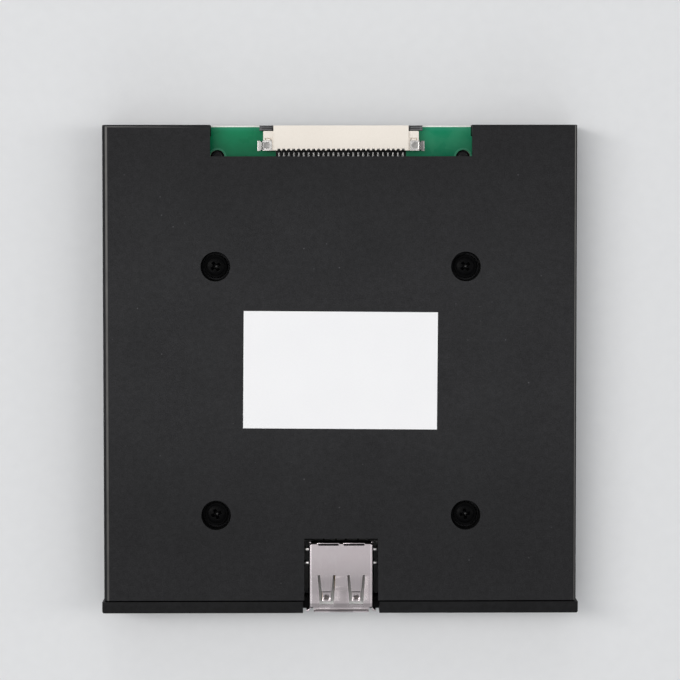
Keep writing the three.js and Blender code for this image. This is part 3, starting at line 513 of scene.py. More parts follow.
def make_board():
    f = Finish("board_green", (0.006, 0.16, 0.07), 0.35, 0.0, 0.09)
    x, y, z = f.axis(0), f.axis(1), f.axis(2)
    nz = f.math("ABSOLUTE", f.axis(2, f.tc.outputs["Normal"]))
    cloud = f.noise(180, 3.0, 0.6)
    mask = f.ramp(f.remap(cloud, 0.3, 0.7, 0.0, 1.0), [(0.0, (0.0008, 0.168, 0.068)), (1.0, (0.0050, 0.207, 0.090))])
    # painted shade and light: darker towards the notch's front edge, lighter towards the rear
    mask = f.mix(1.0, mask, f.grey(f.remap(y, 42.8 * MM, 48.6 * MM, 0.62, 1.12)), "MULTIPLY")
    # painted light: redder and lighter towards the right
    mask = f.mix(f.remap(x, -15.0 * MM, 18.0 * MM, 0.0, 1.0), mask, f.mix(1.0, mask, (6.1, 1.22, 1.43), "MULTIPLY"))
    # painted light along the board's rear edge
    lit = f.remap(y, 47.9 * MM, 48.7 * MM, 0.0, 0.35)
    mask = f.mix(lit, mask, (0.045, 0.30, 0.19))
    # covered copper: parallel tracks that stand slightly proud and look a little lighter
    w = f.t.nodes.new("ShaderNodeTexBrick")
    w.offset = 0.37
    w.inputs["Scale"].default_value = 1.0
    w.inputs["Mortar Size"].default_value = 0.012
    w.inputs["Brick Width"].default_value = 0.9
    w.inputs["Row Height"].default_value = 0.11
    f.t.links.new(f.stretched((170, 520, 1)), w.inputs["Vector"])
    track = f.math("MULTIPLY", w.outputs["Fac"], f.remap(y, 0.0385, 0.0405, 1.0, 0.0))
    mask = f.mix(f.math("MULTIPLY", track, 0.5), mask, (0.022, 0.235, 0.115))
    via = f.voronoi(240)
    pick = f.math("GREATER_THAN", f.axis(1, via.outputs["Color"]), 0.55)
    ring = f.math("MULTIPLY", pick, f.remap(via.outputs["Distance"], 0.07, 0.09, 1.0, 0.0))
    inside = f.math("MULTIPLY", ring, f.remap(y, 0.0385, 0.0405, 1.0, 0.0))
    mask = f.mix(f.math("MULTIPLY", inside, 0.6), mask, (0.04, 0.26, 0.14))
    # lighter rings of covered copper round the locating holes and the screw holes
    holes = [(px, POST_Y, 1.45, 0.42) for px in POST_X] + [(sx, sy, 1.6, 1.6) for sx in SCREW_X for sy in SCREW_Y]
    for hx, hy, r, wide in holes:
        n = f.t.nodes.new("ShaderNodeVectorMath")
        n.operation = "DISTANCE"
        c = f.t.nodes.new("ShaderNodeCombineXYZ")
        f.t.links.new(x, c.inputs[0])
        f.t.links.new(y, c.inputs[1])
        f.t.links.new(c.outputs[0], n.inputs[0])
        n.inputs[1].default_value = (hx * MM, hy * MM, 0)
        d = n.outputs["Value"]
        on = f.remap(d, (r + wide - 0.06) * MM, (r + wide) * MM, 1.0, 0.0)
        mask = f.mix(f.math("MULTIPLY", on, 0.75), mask, (0.045, 0.235, 0.135))
    # painted shade: the board between the connector's pads is dark
    pads = f.math("MULTIPLY", f.patch(FFC_X - 12.5 - 0.65, FFC_X + 12.5 + 0.65, 41.0, 44.6), f.remap(z, 7.4 * MM, 7.6 * MM, 0.0, 1.0))
    mask = f.mix(pads, mask, (0.0035, 0.0045, 0.0040))
    # raw glass fibre on the sawn edges, and a strip along the rear edge that the mask doesn't reach, painted near
    # white, partly as a painted highlight on the board's edge
    fibre = f.ramp(f.remap(f.noise(2500, 3.0), 0.3, 0.7, 0.0, 1.0), [(0.0, (0.80, 0.80, 0.74)), (1.0, (0.96, 0.96, 0.92))])
    strip = f.remap(y, 48.82 * MM, 48.92 * MM, 0.0, 1.0)
    side = f.remap(nz, 0.3, 0.7, 1.0, 0.0)
    raw = f.math("MAXIMUM", strip, side)
    layers = f.noise(1.0, 2.0, vec=f.stretched((300, 300, 9000)))
    sawn = f.ramp(f.remap(layers, 0.3, 0.7, 0.0, 1.0), [(0.0, (0.36, 0.37, 0.25)), (1.0, (0.52, 0.52, 0.39))])
    color = f.mix(strip, mask, fibre)
    color = f.mix(side, color, sawn)
    rough = f.math("ADD", f.remap(cloud, 0.3, 0.7, 0.24, 0.34), f.math("MULTIPLY", raw, 0.35))
    return f.set(color=color, rough=rough, normal=f.bump(f.math("ADD", track, f.math("MULTIPLY", cloud, 0.2)), 0.25, 0.02))


label_paper = make_label()
board_green = make_board()
FINGERS = (-2.95, 3.05)  # centres of the spring fingers, from the receptacle's centre


def make_usb_steel():
    """Plated steel, with painted shade and painted dark reflections in the fingers' dimples, along their creases and in
    the lip's bend.
    """
    color = (0.475, 0.428, 0.440)
    f = Finish("usb_steel", color, 0.22, 1.0)
    lines = f.noise(1.0, 3.0, 0.55, vec=f.stretched((3000, 300, 900)))
    cloud = f.noise(260, 3.0, 0.6, offset=(0.2, 0.5, 0.1))
    both = f.math("ADD", f.math("MULTIPLY", lines, 0.5), f.math("MULTIPLY", cloud, 0.5))
    col = f.ramp(f.remap(both, 0.3, 0.7, 0.0, 1.0), [(0.0, (0.445, 0.398, 0.410)), (0.5, color), (1.0, (0.500, 0.456, 0.468))])
    # darker towards the front half, and a little lighter again at the front end
    col = f.mix(1.0, col, f.grey(f.remap(f.axis(1), -43.5 * MM, -36.5 * MM, 0.82, 1.04, smooth=True)), "MULTIPLY")
    col = f.mix(1.0, col, f.grey(f.remap(f.axis(1), -46.2 * MM, -44.8 * MM, 1.12, 1.0, smooth=True)), "MULTIPLY")
    # painted highlight along the rounded sides
    out = f.math("SUBTRACT", f.axis(0), USB_X * MM)
    rim = f.band(out, -6.40 * MM, -6.24 * MM, -6.08 * MM, -5.88 * MM)
    rim = f.math("ADD", rim, f.math("MULTIPLY", f.band(out, 5.80 * MM, 5.95 * MM, 6.16 * MM, 6.26 * MM), 0.45))
    col = f.mix(1.0, col, f.grey(f.remap(rim, 0.0, 1.0, 1.0, 1.62)), "MULTIPLY")
    # painted shade on the outer part of the rounded sides, which turn away from the light
    turned = f.math("MAXIMUM", f.remap(out, 6.22 * MM, 6.30 * MM, 0.0, 1.0), f.remap(out, -6.36 * MM, -6.28 * MM, 1.0, 0.0))
    turned = f.math("MULTIPLY", turned, f.remap(f.axis(2), 11.60 * MM, 11.70 * MM, 0.0, 1.0))
    col = f.mix(1.0, col, f.grey(f.remap(turned, 0.0, 1.0, 1.0, 0.12)), "MULTIPLY")
    # painted highlight on the upper part of the bent-up lips
    col = f.mix(1.0, col, f.grey(f.remap(f.axis(2), 12.30 * MM, 12.42 * MM, 1.0, 1.28)), "MULTIPLY")
    outer = f.remap(f.math("ABSOLUTE", out), 5.8 * MM, 5.9 * MM, 0.0, 1.0)
    tip = f.math("MULTIPLY", f.remap(f.axis(1), -35.14 * MM, -35.08 * MM, 0.0, 1.0), outer)
    # painted shade on the tops of the rear corner tabs, more on the right
    col = f.mix(tip, col, f.mix(1.0, col, f.grey(f.remap(out, -1.0 * MM, 1.0 * MM, 0.8, 0.65)), "MULTIPLY"))
    low = f.math("MULTIPLY", f.band(out, -1.6 * MM, -0.9 * MM, 0.9 * MM, 1.6 * MM), f.remap(f.axis(1), -44.5 * MM, -43.5 * MM, 1.0, 0.0))
    col = f.mix(1.0, col, f.grey(f.remap(low, 0.0, 1.0, 1.0, 0.90)), "MULTIPLY")
    # darker across the sheet behind the lip
    col = f.mix(1.0, col, f.grey(f.remap(f.band(f.axis(1), -48.35 * MM, -47.95 * MM, -47.45 * MM, -47.1 * MM), 0.0, 1.0, 1.0, 0.66)), "MULTIPLY")
    z = f.axis(2)
    outside = f.remap(z, 10.6 * MM, 10.9 * MM, 0.0, 1.0)
    ragged = f.remap(f.noise(2600, 2.0), 0.3, 0.7, -0.10 * MM, 0.10 * MM)
    # painted shade and dark reflections: the dimples, the creases and the lip's bend
    painted_dark_marks = None
    for cx in FINGERS:
        x = USB_X + cx
        c = f.t.nodes.new("ShaderNodeCombineXYZ")
        f.t.links.new(f.axis(0), c.inputs[0])
        f.t.links.new(f.axis(1), c.inputs[1])
        n = f.t.nodes.new("ShaderNodeVectorMath")
        n.operation = "DISTANCE"
        f.t.links.new(c.outputs[0], n.inputs[0])
        n.inputs[1].default_value = (x * MM, -46.12 * MM, 0)
        dish = f.math("MULTIPLY", f.remap(f.math("ADD", n.outputs["Value"], ragged), 0.40 * MM, 0.52 * MM, 1.0, 0.0), 0.86)
        crease = f.math("MULTIPLY", f.patch(x - 0.84, x + 0.84, -45.02, -44.88, 0.02), 0.62 if cx < 0 else 0.85)
        both = f.math("MAXIMUM", dish, crease)
        painted_dark_marks = both if painted_dark_marks is None else f.math("MAXIMUM", painted_dark_marks, both)
    bend = f.math("MULTIPLY", f.patch(USB_X - 5.3, USB_X + 5.3, -48.68, -48.48, 0.03), 0.80)
    painted_dark_marks = f.math("MULTIPLY", f.math("MAXIMUM", painted_dark_marks, bend), outside)
    # no light reaches the inside of the rear wall
    shade = f.math("MULTIPLY", f.patch(USB_X - 5.2, USB_X + 4.9, -35.85, -35.10, 0.02), f.remap(f.axis(2), 11.60 * MM, 11.75 * MM, 1.0, 0.0))
    tabs = f.math("MULTIPLY", tip, f.remap(f.axis(2), 11.76 * MM, 11.83 * MM, 1.0, 0.0))
    feet = f.math("MULTIPLY", f.remap(f.axis(1), -35.56 * MM, -35.48 * MM, 0.0, 1.0), f.remap(f.axis(2), 11.2 * MM, 11.5 * MM, 1.0, 0.0))
    shade = f.math("MAXIMUM", shade, f.math("MAXIMUM", tabs, feet))
    painted_dark_marks = f.math("MAXIMUM", painted_dark_marks, shade)
    col = f.mix(painted_dark_marks, col, (0.050, 0.042, 0.036))
    col = f.mix(shade, col, (0.004, 0.0035, 0.003))
    r = f.remap(f.math("ADD", f.math("MULTIPLY", cloud, 0.5), f.math("MULTIPLY", lines, 0.5)), 0.3, 0.7, 0.27, 0.20)
    r = f.math("ADD", r, f.math("MULTIPLY", painted_dark_marks, 0.3))
    # the legs are dull with solder
    leg = f.remap(f.math("ABSOLUTE", f.math("SUBTRACT", f.axis(0), USB_X * MM)), (USB_W / 2 + 0.02) * MM, (USB_W / 2 + 0.10) * MM, 0.0, 1.0)
    leg = f.math("MULTIPLY", leg, f.remap(f.axis(1), -47.0 * MM, -46.0 * MM, 0.0, 1.0))
    col = f.mix(leg, col, (0.50, 0.49, 0.475))
    r = f.math("ADD", r, f.math("MULTIPLY", leg, 0.14))
    return f.set(color=col, rough=r, normal=f.bump(lines, 0.03, 0.01))


usb_steel = make_usb_steel()
tinned = plated("tinned_metal", (0.52, 0.51, 0.50), (0.24, 0.4), tint=0.06)


def make_holddown():
    """Dull tin, greyer on the foot and on the stamped disc."""
    color = (0.37, 0.36, 0.35)
    f = Finish("tinned_dull", color, 0.36, 1.0)
    cloud = f.noise(1500, 3.0, 0.6)
    col = f.ramp(f.remap(cloud, 0.3, 0.7, 0.0, 1.0), [(0.0, (0.33, 0.32, 0.31)), (1.0, (0.42, 0.41, 0.40))])
    out = f.math("ABSOLUTE", f.math("SUBTRACT", f.axis(0), FFC_X * MM))
    foot = f.math("MULTIPLY", f.band(out, 16.02 * MM, 16.10 * MM, 16.66 * MM, 16.72 * MM), f.remap(f.axis(2), 8.6 * MM, 9.0 * MM, 1.0, 0.0))
    disc = f.math("MAXIMUM", f.near(FFC_X - 14.92, 45.12, 0.58, 0.64), f.near(FFC_X + 14.92, 45.12, 0.58, 0.64))
    col = f.mix(1.0, col, f.grey(f.remap(foot, 0.0, 1.0, 1.0, 0.50)), "MULTIPLY")
    col = f.mix(1.0, col, f.grey(f.remap(disc, 0.0, 1.0, 1.0, 0.80)), "MULTIPLY")
    r = f.math("ADD", f.remap(cloud, 0.3, 0.7, 0.24, 0.34), f.math("MULTIPLY", disc, 0.26))
    return f.set(color=col, rough=r, normal=f.bump(cloud, 0.06, 0.01))


tinned_dull = make_holddown()
tinned_dark = plated("tinned_dark", (0.30, 0.295, 0.29), (0.30, 0.46), tint=0.16, bump=0.15)
solder = plated("solder", (0.70, 0.69, 0.67), (0.18, 0.3), tint=0.04)


def make_contact():
    """Gold flash on the mating part, with painted shade over the rear part; the solder tails at the rear are painted
    near black as painted shade.
    """
    color = (0.72, 0.50, 0.22)
    f = Finish("contact_gold", color, 0.26, 1.0)
    cloud = f.noise(700, 3.0, 0.6)
    col = f.ramp(f.remap(cloud, 0.3, 0.7, 0.0, 1.0), [(0.0, (0.66, 0.45, 0.19)), (1.0, (0.76, 0.54, 0.25))])
    # painted shade over the contacts behind the mating part
    col = f.mix(1.0, col, f.grey(f.remap(f.axis(1), -44.6 * MM, -43.2 * MM, 1.0, 0.30)), "MULTIPLY")
    # painted shade: the solder tails near black
    shaded_tail = f.remap(f.axis(1), -37.2 * MM, -36.6 * MM, 0.0, 1.0)
    col = f.mix(shaded_tail, col, (0.012, 0.011, 0.010))
    r = f.math("ADD", f.remap(cloud, 0.3, 0.7, 0.20, 0.32), f.math("MULTIPLY", shaded_tail, 0.3))
    return f.set(color=col, rough=r, normal=f.bump(cloud, 0.05, 0.01))


gold = make_contact()
cream = moulded("cream_plastic", (0.80, 0.735, 0.655), (0.86, 0.80, 0.72), (0.40, 0.50), spec=0.45, grain=4200, bump=0.10, depth=0.015, mottle=0.5)
insulator = moulded("insulator_nylon", (0.74, 0.73, 0.70), (0.82, 0.81, 0.785), (0.38, 0.48), spec=0.45, grain=4200, bump=0.10, depth=0.015, mottle=0.5, enclosed=-36.2)
nylon = moulded("white_nylon", (0.74, 0.73, 0.70), (0.82, 0.81, 0.785), (0.38, 0.48), spec=0.45, grain=4200, bump=0.10, depth=0.015, mottle=0.5)

slider_grey = moulded("grey_plastic", (0.085, 0.084, 0.088), (0.125, 0.123, 0.128), (0.42, 0.54), spec=0.45, grain=5200, bump=0.2, depth=0.02, mottle=0.4, ribs=(48.275, 0.38, 13.85))
chip_black = moulded("chip_black", (0.010, 0.010, 0.0105), (0.018, 0.018, 0.019), (0.48, 0.62), spec=0.35, grain=6000, bump=0.4, depth=0.03, mottle=0.3)
display_grey = moulded("display_grey", (0.020, 0.020, 0.021), (0.028, 0.028, 0.029), (0.36, 0.46), spec=0.4, grain=7000, bump=0.1, depth=0.01, mottle=0.3)
segment_white = moulded("segment_white", (0.50, 0.46, 0.44), (0.58, 0.54, 0.52), (0.28, 0.36), spec=0.5, grain=5000, bump=0.05, depth=0.01, mottle=0.5)


def make_screw():
    """Black oxide: dull, with a painted highlight round the head's rim and a painted glint at the bottom of the cross.
    """
    f = Finish("screw_black", (0.001, 0.001, 0.0012), 0.36, 0.0, 0.04)
    cloud = f.noise(1400, 3.0, 0.6)
    col = f.ramp(f.remap(cloud, 0.3, 0.7, 0.0, 1.0), [(0.0, (0.0006, 0.0006, 0.0008)), (1.0, (0.0018, 0.0018, 0.0022))])
    top = f.remap(f.axis(2), 9.0 * MM, 9.1 * MM, 0.0, 1.0)
    for sx in SCREW_X:
        for sy in SCREW_Y:
            # painted light round the rim of the head
            rim = f.math("MULTIPLY", f.math("SUBTRACT", f.near(sx, sy, 2.6, 2.9), f.near(sx, sy, 1.75, 2.30)), top)
            col = f.mix(rim, col, (0.0135, 0.0135, 0.0140))
            # painted glint at the bottom of the cross
            cross_glint = f.math("MULTIPLY", f.near(sx + 0.08, sy, 0.08, 0.24), top)
            col = f.mix(cross_glint, col, (0.10, 0.10, 0.10))
    return f.set(color=col, rough=f.remap(cloud, 0.3, 0.7, 0.30, 0.42), normal=f.bump(cloud, 0.15, 0.01))


screw_black = make_screw()
capacitor_can = plated("capacitor_can", (0.72, 0.72, 0.74), (0.22, 0.34), streak=(300, 300, 5200), tint=0.04)
fuse_green = moulded("fuse_green", (0.02, 0.11, 0.05), (0.035, 0.17, 0.08), (0.4, 0.5), grain=5200, bump=0.2, mottle=0.4)


def make_lamp():
    f = Finish("lamp_red", (0.50, 0.028, 0.020), 0.12, 0.0, 0.5)
    f.p.inputs["Transmission Weight"].default_value = 0.55
    f.p.inputs["IOR"].default_value = 1.53
    cloud = f.noise(900, 2.0)
    col = f.ramp(f.remap(cloud, 0.3, 0.7, 0.0, 1.0), [(0.0, (0.46, 0.024, 0.018)), (1.0, (0.56, 0.036, 0.026))])
    return f.set(color=col, rough=f.remap(cloud, 0.3, 0.7, 0.10, 0.18))


lamp_red = make_lamp()

FINISH_OF = {
    "cover_label_side": case_black,
    "cover_plain_side": case_black,
    "front_bezel": bezel_black,
    "label_sticker": label_paper,
    "main_board": board_green,
    "usb_insulator": insulator,
    "display_board": board_green,
    "status_led": lamp_red,
    "led_holder": chip_black,
    "controller_chip": chip_black,
    "buffer_chip": chip_black,
    "memory_chip": chip_black,
    "voltage_regulator": chip_black,
    "crystal": tinned,
    "supply_capacitor_1": capacitor_can,
    "supply_capacitor_2": capacitor_can,
    "resettable_fuse": fuse_green,
    "ferrite_choke": chip_black,
    "resistor_network_1": chip_black,
    "resistor_network_2": chip_black,
    **{f"usb_contact_{i}": gold for i in (1, 2, 3, 4)},
    **{f"button_cap_{s}": button_black for s in ("left", "right")},
    **{f"switch_body_{s}": chip_black for s in ("left", "right")},
    **{f"switch_plate_{s}": tinned for s in ("left", "right")},
    **{f"switch_plunger_{s}": nylon for s in ("left", "right")},
    **{f"switch_dome_{s}": tinned for s in ("left", "right")},
}
ROUNDING = {
    "cover_label_side": 0.14,
    "cover_plain_side": 0.14,
    "front_bezel": 0.12,
    "label_sticker": 0.0,
    "main_board": 0.04,
    "usb_insulator": 0.06,
    "button_cap_left": 0.12,
    "button_cap_right": 0.12,
}


def dress(node):
    ob = NODES[node]
    for i in range(max(1, len(ob.material_slots))):
        if not ob.material_slots:
            ob.data.materials.append(FINISH_OF[node])
        else:
            ob.material_slots[i].material = FINISH_OF[node]
    soften(ob, ROUNDING.get(node, 0.05), 2, cad=True)


# ---------------------------------------------------------------- case screws
def cross_recess(bm, x, y, top, wide=1.22, blade=0.34, deep=1.0):
    """A tapered cross that a driver enters."""
    for turn in (0, 1):
        a, b = wide, blade
        c, d = wide * 0.42, blade * 0.62
        pts = []
        for (u, v), z in (((a, b), top + 0.3), ((c, d), top - deep)):
            ring = [(-u, -v), (u, -v), (u, v), (-u, v)]
            pts.append([bm.verts.new((x + (q if turn else p), y + (p if turn else q), z)) for p, q in ring])
        up, down = pts
        bm.faces.new(up)
        bm.faces.new(down[::-1])
        for i in range(4):
            j = (i + 1) % 4
            bm.faces.new((up[i], down[i], down[j], up[j]))


def case_screw(node, x, y, spin):
    base = RECESS_FLOOR + 0.05
    bm = bmesh.new()
    head = [(2.30, 0.0), (2.35, 0.05), (2.35, 0.75), (2.31, 0.93), (2.20, 1.11), (2.02, 1.25), (1.74, 1.36), (1.3, 1.44), (0.7, 1.485), (0, 1.50)]
    # a self-tapping shank: sharp ridges on a core
    thread = []
    z = -6.5
    thread.append((0, z - 0.05))
    thread.append((0.45, z))
    core, crest, pitch = 0.88, 1.19, 0.8
    z = -5.9
    while z < -0.75:
        thread += [(core, z), (crest, z + 0.28), (crest, z + 0.34), (core, z + 0.62)]
        z += pitch
    thread += [(core, -0.45), (1.15, -0.02)]
    add_lathe(bm, thread + head, 48, (x, y, base))
    ob = as_object(bm)
    bm = bmesh.new()
    cross_recess(bm, 0, 0, 0)
    bmesh.ops.rotate(bm, verts=bm.verts, cent=(0, 0, 0), matrix=Matrix.Rotation(math.radians(spin), 3, "Z"))
    bmesh.ops.translate(bm, verts=bm.verts, vec=(x, y, base + 1.5))
    boolean(ob, as_object(bm), own=True)
    return finish_piece(ob, node + "_detail", "drive", screw_black, (node,), 0.05, 2, 34)


SPIN = {("front", "left"): 20, ("front", "right"): 8, ("rear", "left"): 33, ("rear", "right"): 38}
for i, sx in enumerate(SCREW_X):
    for j, sy in enumerate(SCREW_Y):
        end, hand = ("rear" if j else "front"), ("right" if i else "left")
        case_screw(f"case_screw_{end}_{hand}", sx, sy, SPIN[(end, hand)])


# ---------------------------------------------------------------- USB-A receptacle shell
def usb_shell():
    w = USB_W / 2
    front = -49.26  # length before the lips are bent
    rear = -35.06
    fold = -48.45  # where the lips start to bend
    outer = round_rect(-w, w, USB_Z0, USB_Z1, 0.45, 8)
    inner = round_rect(-w + USB_T, w - USB_T, USB_Z0 + USB_T, USB_Z1 - USB_T, 0.2, 8)
    bm = bmesh.new()
    add_prism(bm, "Y", outer, front, rear)
    ob = as_object(bm)
    bm = bmesh.new()
    add_prism(bm, "Y", inner, front - 1, rear - USB_T)
    boolean(ob, as_object(bm))
    bm = bmesh.new()
    # contact tails leave under the rear wall
    add_box(bm, -5.6, 5.6, rear - 1.6, rear + 1, USB_Z0 - 1, 7.2)
    # the folded sheet is round at its rear corners
    for sx in (-1, 1):
        r = 0.8
        pts = [(w + 0.2, rear + 0.2), (w - r, rear + 0.2)] + arc(w - r, rear - 0.2 - r, r, 90, 0, 6) + [(w + 0.2, rear - 0.2 - r)]
        add_prism(bm, "Z", [(sx * a, b) for a, b in pts], USB_Z0 - 1, USB_Z1 + 1)
    boolean(ob, as_object(bm))
    # the sheet ends a little short beside the two folds
    bm = bmesh.new()
    for x0, x1 in ((-w - 1, -4.80), (-0.35, 0.42), (4.82, w + 1)):
        add_box(bm, x0, x1, rear - 0.2, rear + 1, 10.9, 13)
    boolean(ob, as_object(bm))
    bm = bmesh.new()
    # bend-relief slits where the rear wall folds down
    for x0, x1 in ((-4.66, -0.45), (0.50, 4.72)):
        add_prism(bm, "Z", round_rect(x0, x1, rear - 0.50, rear - 0.12, 0.14, 4), 7.6, 13)
    # spring fingers: a U-shaped slot leaves a tapered tongue
    for cx in FINGERS:
        slot = [
            (-1.79, -41.54), (-1.32, -41.54), (-0.98, -44.85), (-0.86, -45.1), (-0.84, -46.94),
            (0.84, -46.94), (0.86, -45.1), (0.98, -44.85), (1.32, -41.54), (1.79, -41.54), (1.39, -47.99), (-1.39, -47.99),
        ]
        add_prism(bm, "Z", [(cx + a, b) for a, b in slot], 11.4, 13)
        add_prism(bm, "Z", [(cx + a, b) for a, b in slot], 5.5, 7.0)
    boolean(ob, as_object(bm))
    # corners cut free so that the lips can bend
    bm = bmesh.new()
    for sx in (-1, 1):
        for z0, z1 in ((USB_Z1 - 0.72, USB_Z1 + 1), (USB_Z0 - 1, USB_Z0 + 0.72)):
            x0, x1 = sorted((sx * (w - 1.0), sx * (w + 1)))
            pts = [(x0, front - 1), (x1, front - 1), (x1, -48.42), (x0, -48.42)]
            add_prism(bm, "Z", pts, z0, z1)
            add_prism(bm, "Z", circle(sx * (w - 0.55), -48.45, 0.46, 24), z0, z1)
    boolean(ob, as_object(bm), own=True)
    # lines along which the sheet bends
    cuts = [("Y", -41.7 - 0.2 * i) for i in range(0, 16)]
    cuts += [("Y", -44.82 - 0.045 * i) for i in range(0, 7)]
    cuts += [("Y", -45.2 - 0.1 * i) for i in range(0, 17)]
    cuts += [("Y", fold - 0.05 * i) for i in range(0, 18)]
    for cx in FINGERS:
        cuts += [("X", cx + 0.1 * i) for i in range(-7, 8)]
    bisect(ob, cuts)

    def finger(x, y):
        """How far a spring finger stands below the sheet."""
        for cx in FINGERS:
            u = x - cx
            if y > -41.53 or y < -46.96:
                continue
            half = 1.32 - 0.34 * min(1.0, (-41.54 - y) / 3.31) if y > -44.85 else 1.0
            if abs(u) > half + 0.02:
                continue
            if y > -44.86:
                # slopes in gently to the crease
                k = (-41.54 - y) / (44.86 - 41.54)
                d = 0.17 * k * k * (3 - 2 * k)
            elif y > -45.06:
                d = 0.17 + 0.26 * (-44.86 - y) / 0.2
            else:
                # the pad runs back up a little to its tip
                k = (-45.06 - y) / (46.94 - 45.06)
                d = 0.43 + 0.05 * math.sin(math.pi * k) - 0.06 * k
            r = math.hypot(u, y + 46.12)
            d += 0.20 * math.exp(-((r / 0.50) ** 4))
            return d
        return 0.0

    me = ob.data
    for v in me.vertices:
        x, y, z = v.co
        if z > USB_Z1 - USB_T - 0.01 and abs(x) < w - 0.5:
            d = finger(x, y)
            if d:
                v.co.z = z - d
                continue
        if z < USB_Z0 + USB_T + 0.01 and abs(x) < w - 0.5:
            d = finger(x, y)
            if d:
                v.co.z = z + 0.4 * d
                continue
        if y < fold:
            # lips: top and bottom bend up and down, the sides bend out
            mid_z1, mid_z0 = USB_Z1 - USB_T / 2, USB_Z0 + USB_T / 2
            mid_x = w - USB_T / 2
            if z > USB_Z1 - 0.7 and abs(x) < w - 0.9:
                a, h = lip(fold - y, 0.30, 74)
                t = z - mid_z1
                v.co.y = fold - a[0] + t * math.sin(a[1])
                v.co.z = mid_z1 + h + t * math.cos(a[1])
            elif z < USB_Z0 + 0.7 and abs(x) < w - 0.9:
                a, h = lip(fold - y, 0.30, 74)
                t = mid_z0 - z
                v.co.y = fold - a[0] + t * math.sin(a[1])
                v.co.z = mid_z0 - h - t * math.cos(a[1])
            elif abs(x) > w - USB_T - 0.02 and USB_Z0 + 0.71 < z < USB_Z1 - 0.71:
                sx = 1 if x > 0 else -1
                a, h = lip(fold - y, 0.36, 78)
                t = abs(x) - mid_x
                v.co.y = fold - a[0] + t * math.sin(a[1])
                v.co.x = sx * (mid_x + h + t * math.cos(a[1]))
    me.update()
    # thin legs that cross the gap to the board, and tabs at the rear corners
    bm = bmesh.new()
    for sx in (-1, 1):
        # legs leave the shell near its top, bend down in the gap and stand on the board
        leg = [
            (w - 0.12, 11.2), (6.90, 11.2), (6.97, 11.16), (7.0, 11.08), (7.0, 8.28), (7.06, 8.14), (7.2, 8.08), (8.46, 8.08),
            (8.46, 8.40), (7.44, 8.40), (7.38, 8.43), (7.36, 8.50), (7.36, 11.42), (7.33, 11.53), (7.24, 11.6), (w - 0.12, 11.6),
        ]
        for y in (-39.09, -36.36):
            add_prism(bm, "Y", [(sx * a, b) for a, b in leg], y - 0.2, y + 0.2)
        x0, x1 = sorted((sx * (w - 0.42), sx * (w - 0.16)))
        add_prism(bm, "X", [(rear - 0.60, 10.2), (-34.83, 10.2), (-34.83, 11.9), (-35.04, 11.9), (-35.04, 10.6), (rear - 0.60, 10.6)], x0, x1)
    boolean(ob, as_object(bm), "UNION", own=True)
    me = ob.data
    for v in me.vertices:
        v.co.x += USB_X
    return finish_piece(ob, "usb_shell_detail", "drive", usb_steel, ("usb_shell",), 0.045, 2, 40)


def lip(s, radius, angle):
    """The mid-sheet of a bent lip after s of its length: ((run, slope), rise)."""
    full = math.radians(angle)
    if s < radius * full:
        a = s / radius
        return (radius * math.sin(a), a), radius * (1 - math.cos(a))
    rest = s - radius * full
    return (radius * math.sin(full) + rest * math.cos(full), full), radius * (1 - math.cos(full)) + rest * math.sin(full)


usb_shell()


def blob(bm, x, y, z, rx, ry, rz, seg=20, rings=8):
    """A low rounded mound, closed at the bottom."""
    rows = []
    for i in range(rings):
        a = math.pi / 2 * i / rings
        rows.append([bm.verts.new((x + rx * math.cos(a) * math.cos(2 * math.pi * k / seg), y + ry * math.cos(a) * math.sin(2 * math.pi * k / seg), z + rz * math.sin(a))) for k in range(seg)])
    top = bm.verts.new((x, y, z + rz))
    bm.faces.new(rows[0][::-1])
    for p, q in zip(rows, rows[1:]):
        for k in range(seg):
            j = (k + 1) % seg
            bm.faces.new((p[k], p[j], q[j], q[k]))
    for k in range(seg):
        bm.faces.new((rows[-1][k], rows[-1][(k + 1) % seg], top))


def usb_solder():
    """Solder round the ends of the shell's legs, on the board."""
    bm = bmesh.new()
    for sx in (-1, 1):
        for y in (-36.36, -39.09):
            blob(bm, USB_X + sx * 8.42, y, BOARD_TOP + 0.005, 0.50, 0.42, 0.62)
    ob = as_object(bm)
    return finish_piece(ob, "usb_solder", "drive", solder)


usb_solder()


# ---------------------------------------------------------------- flat-cable connector
def ffc_x(i):
    return (i - (WAYS - 1) / 2) * 1.0


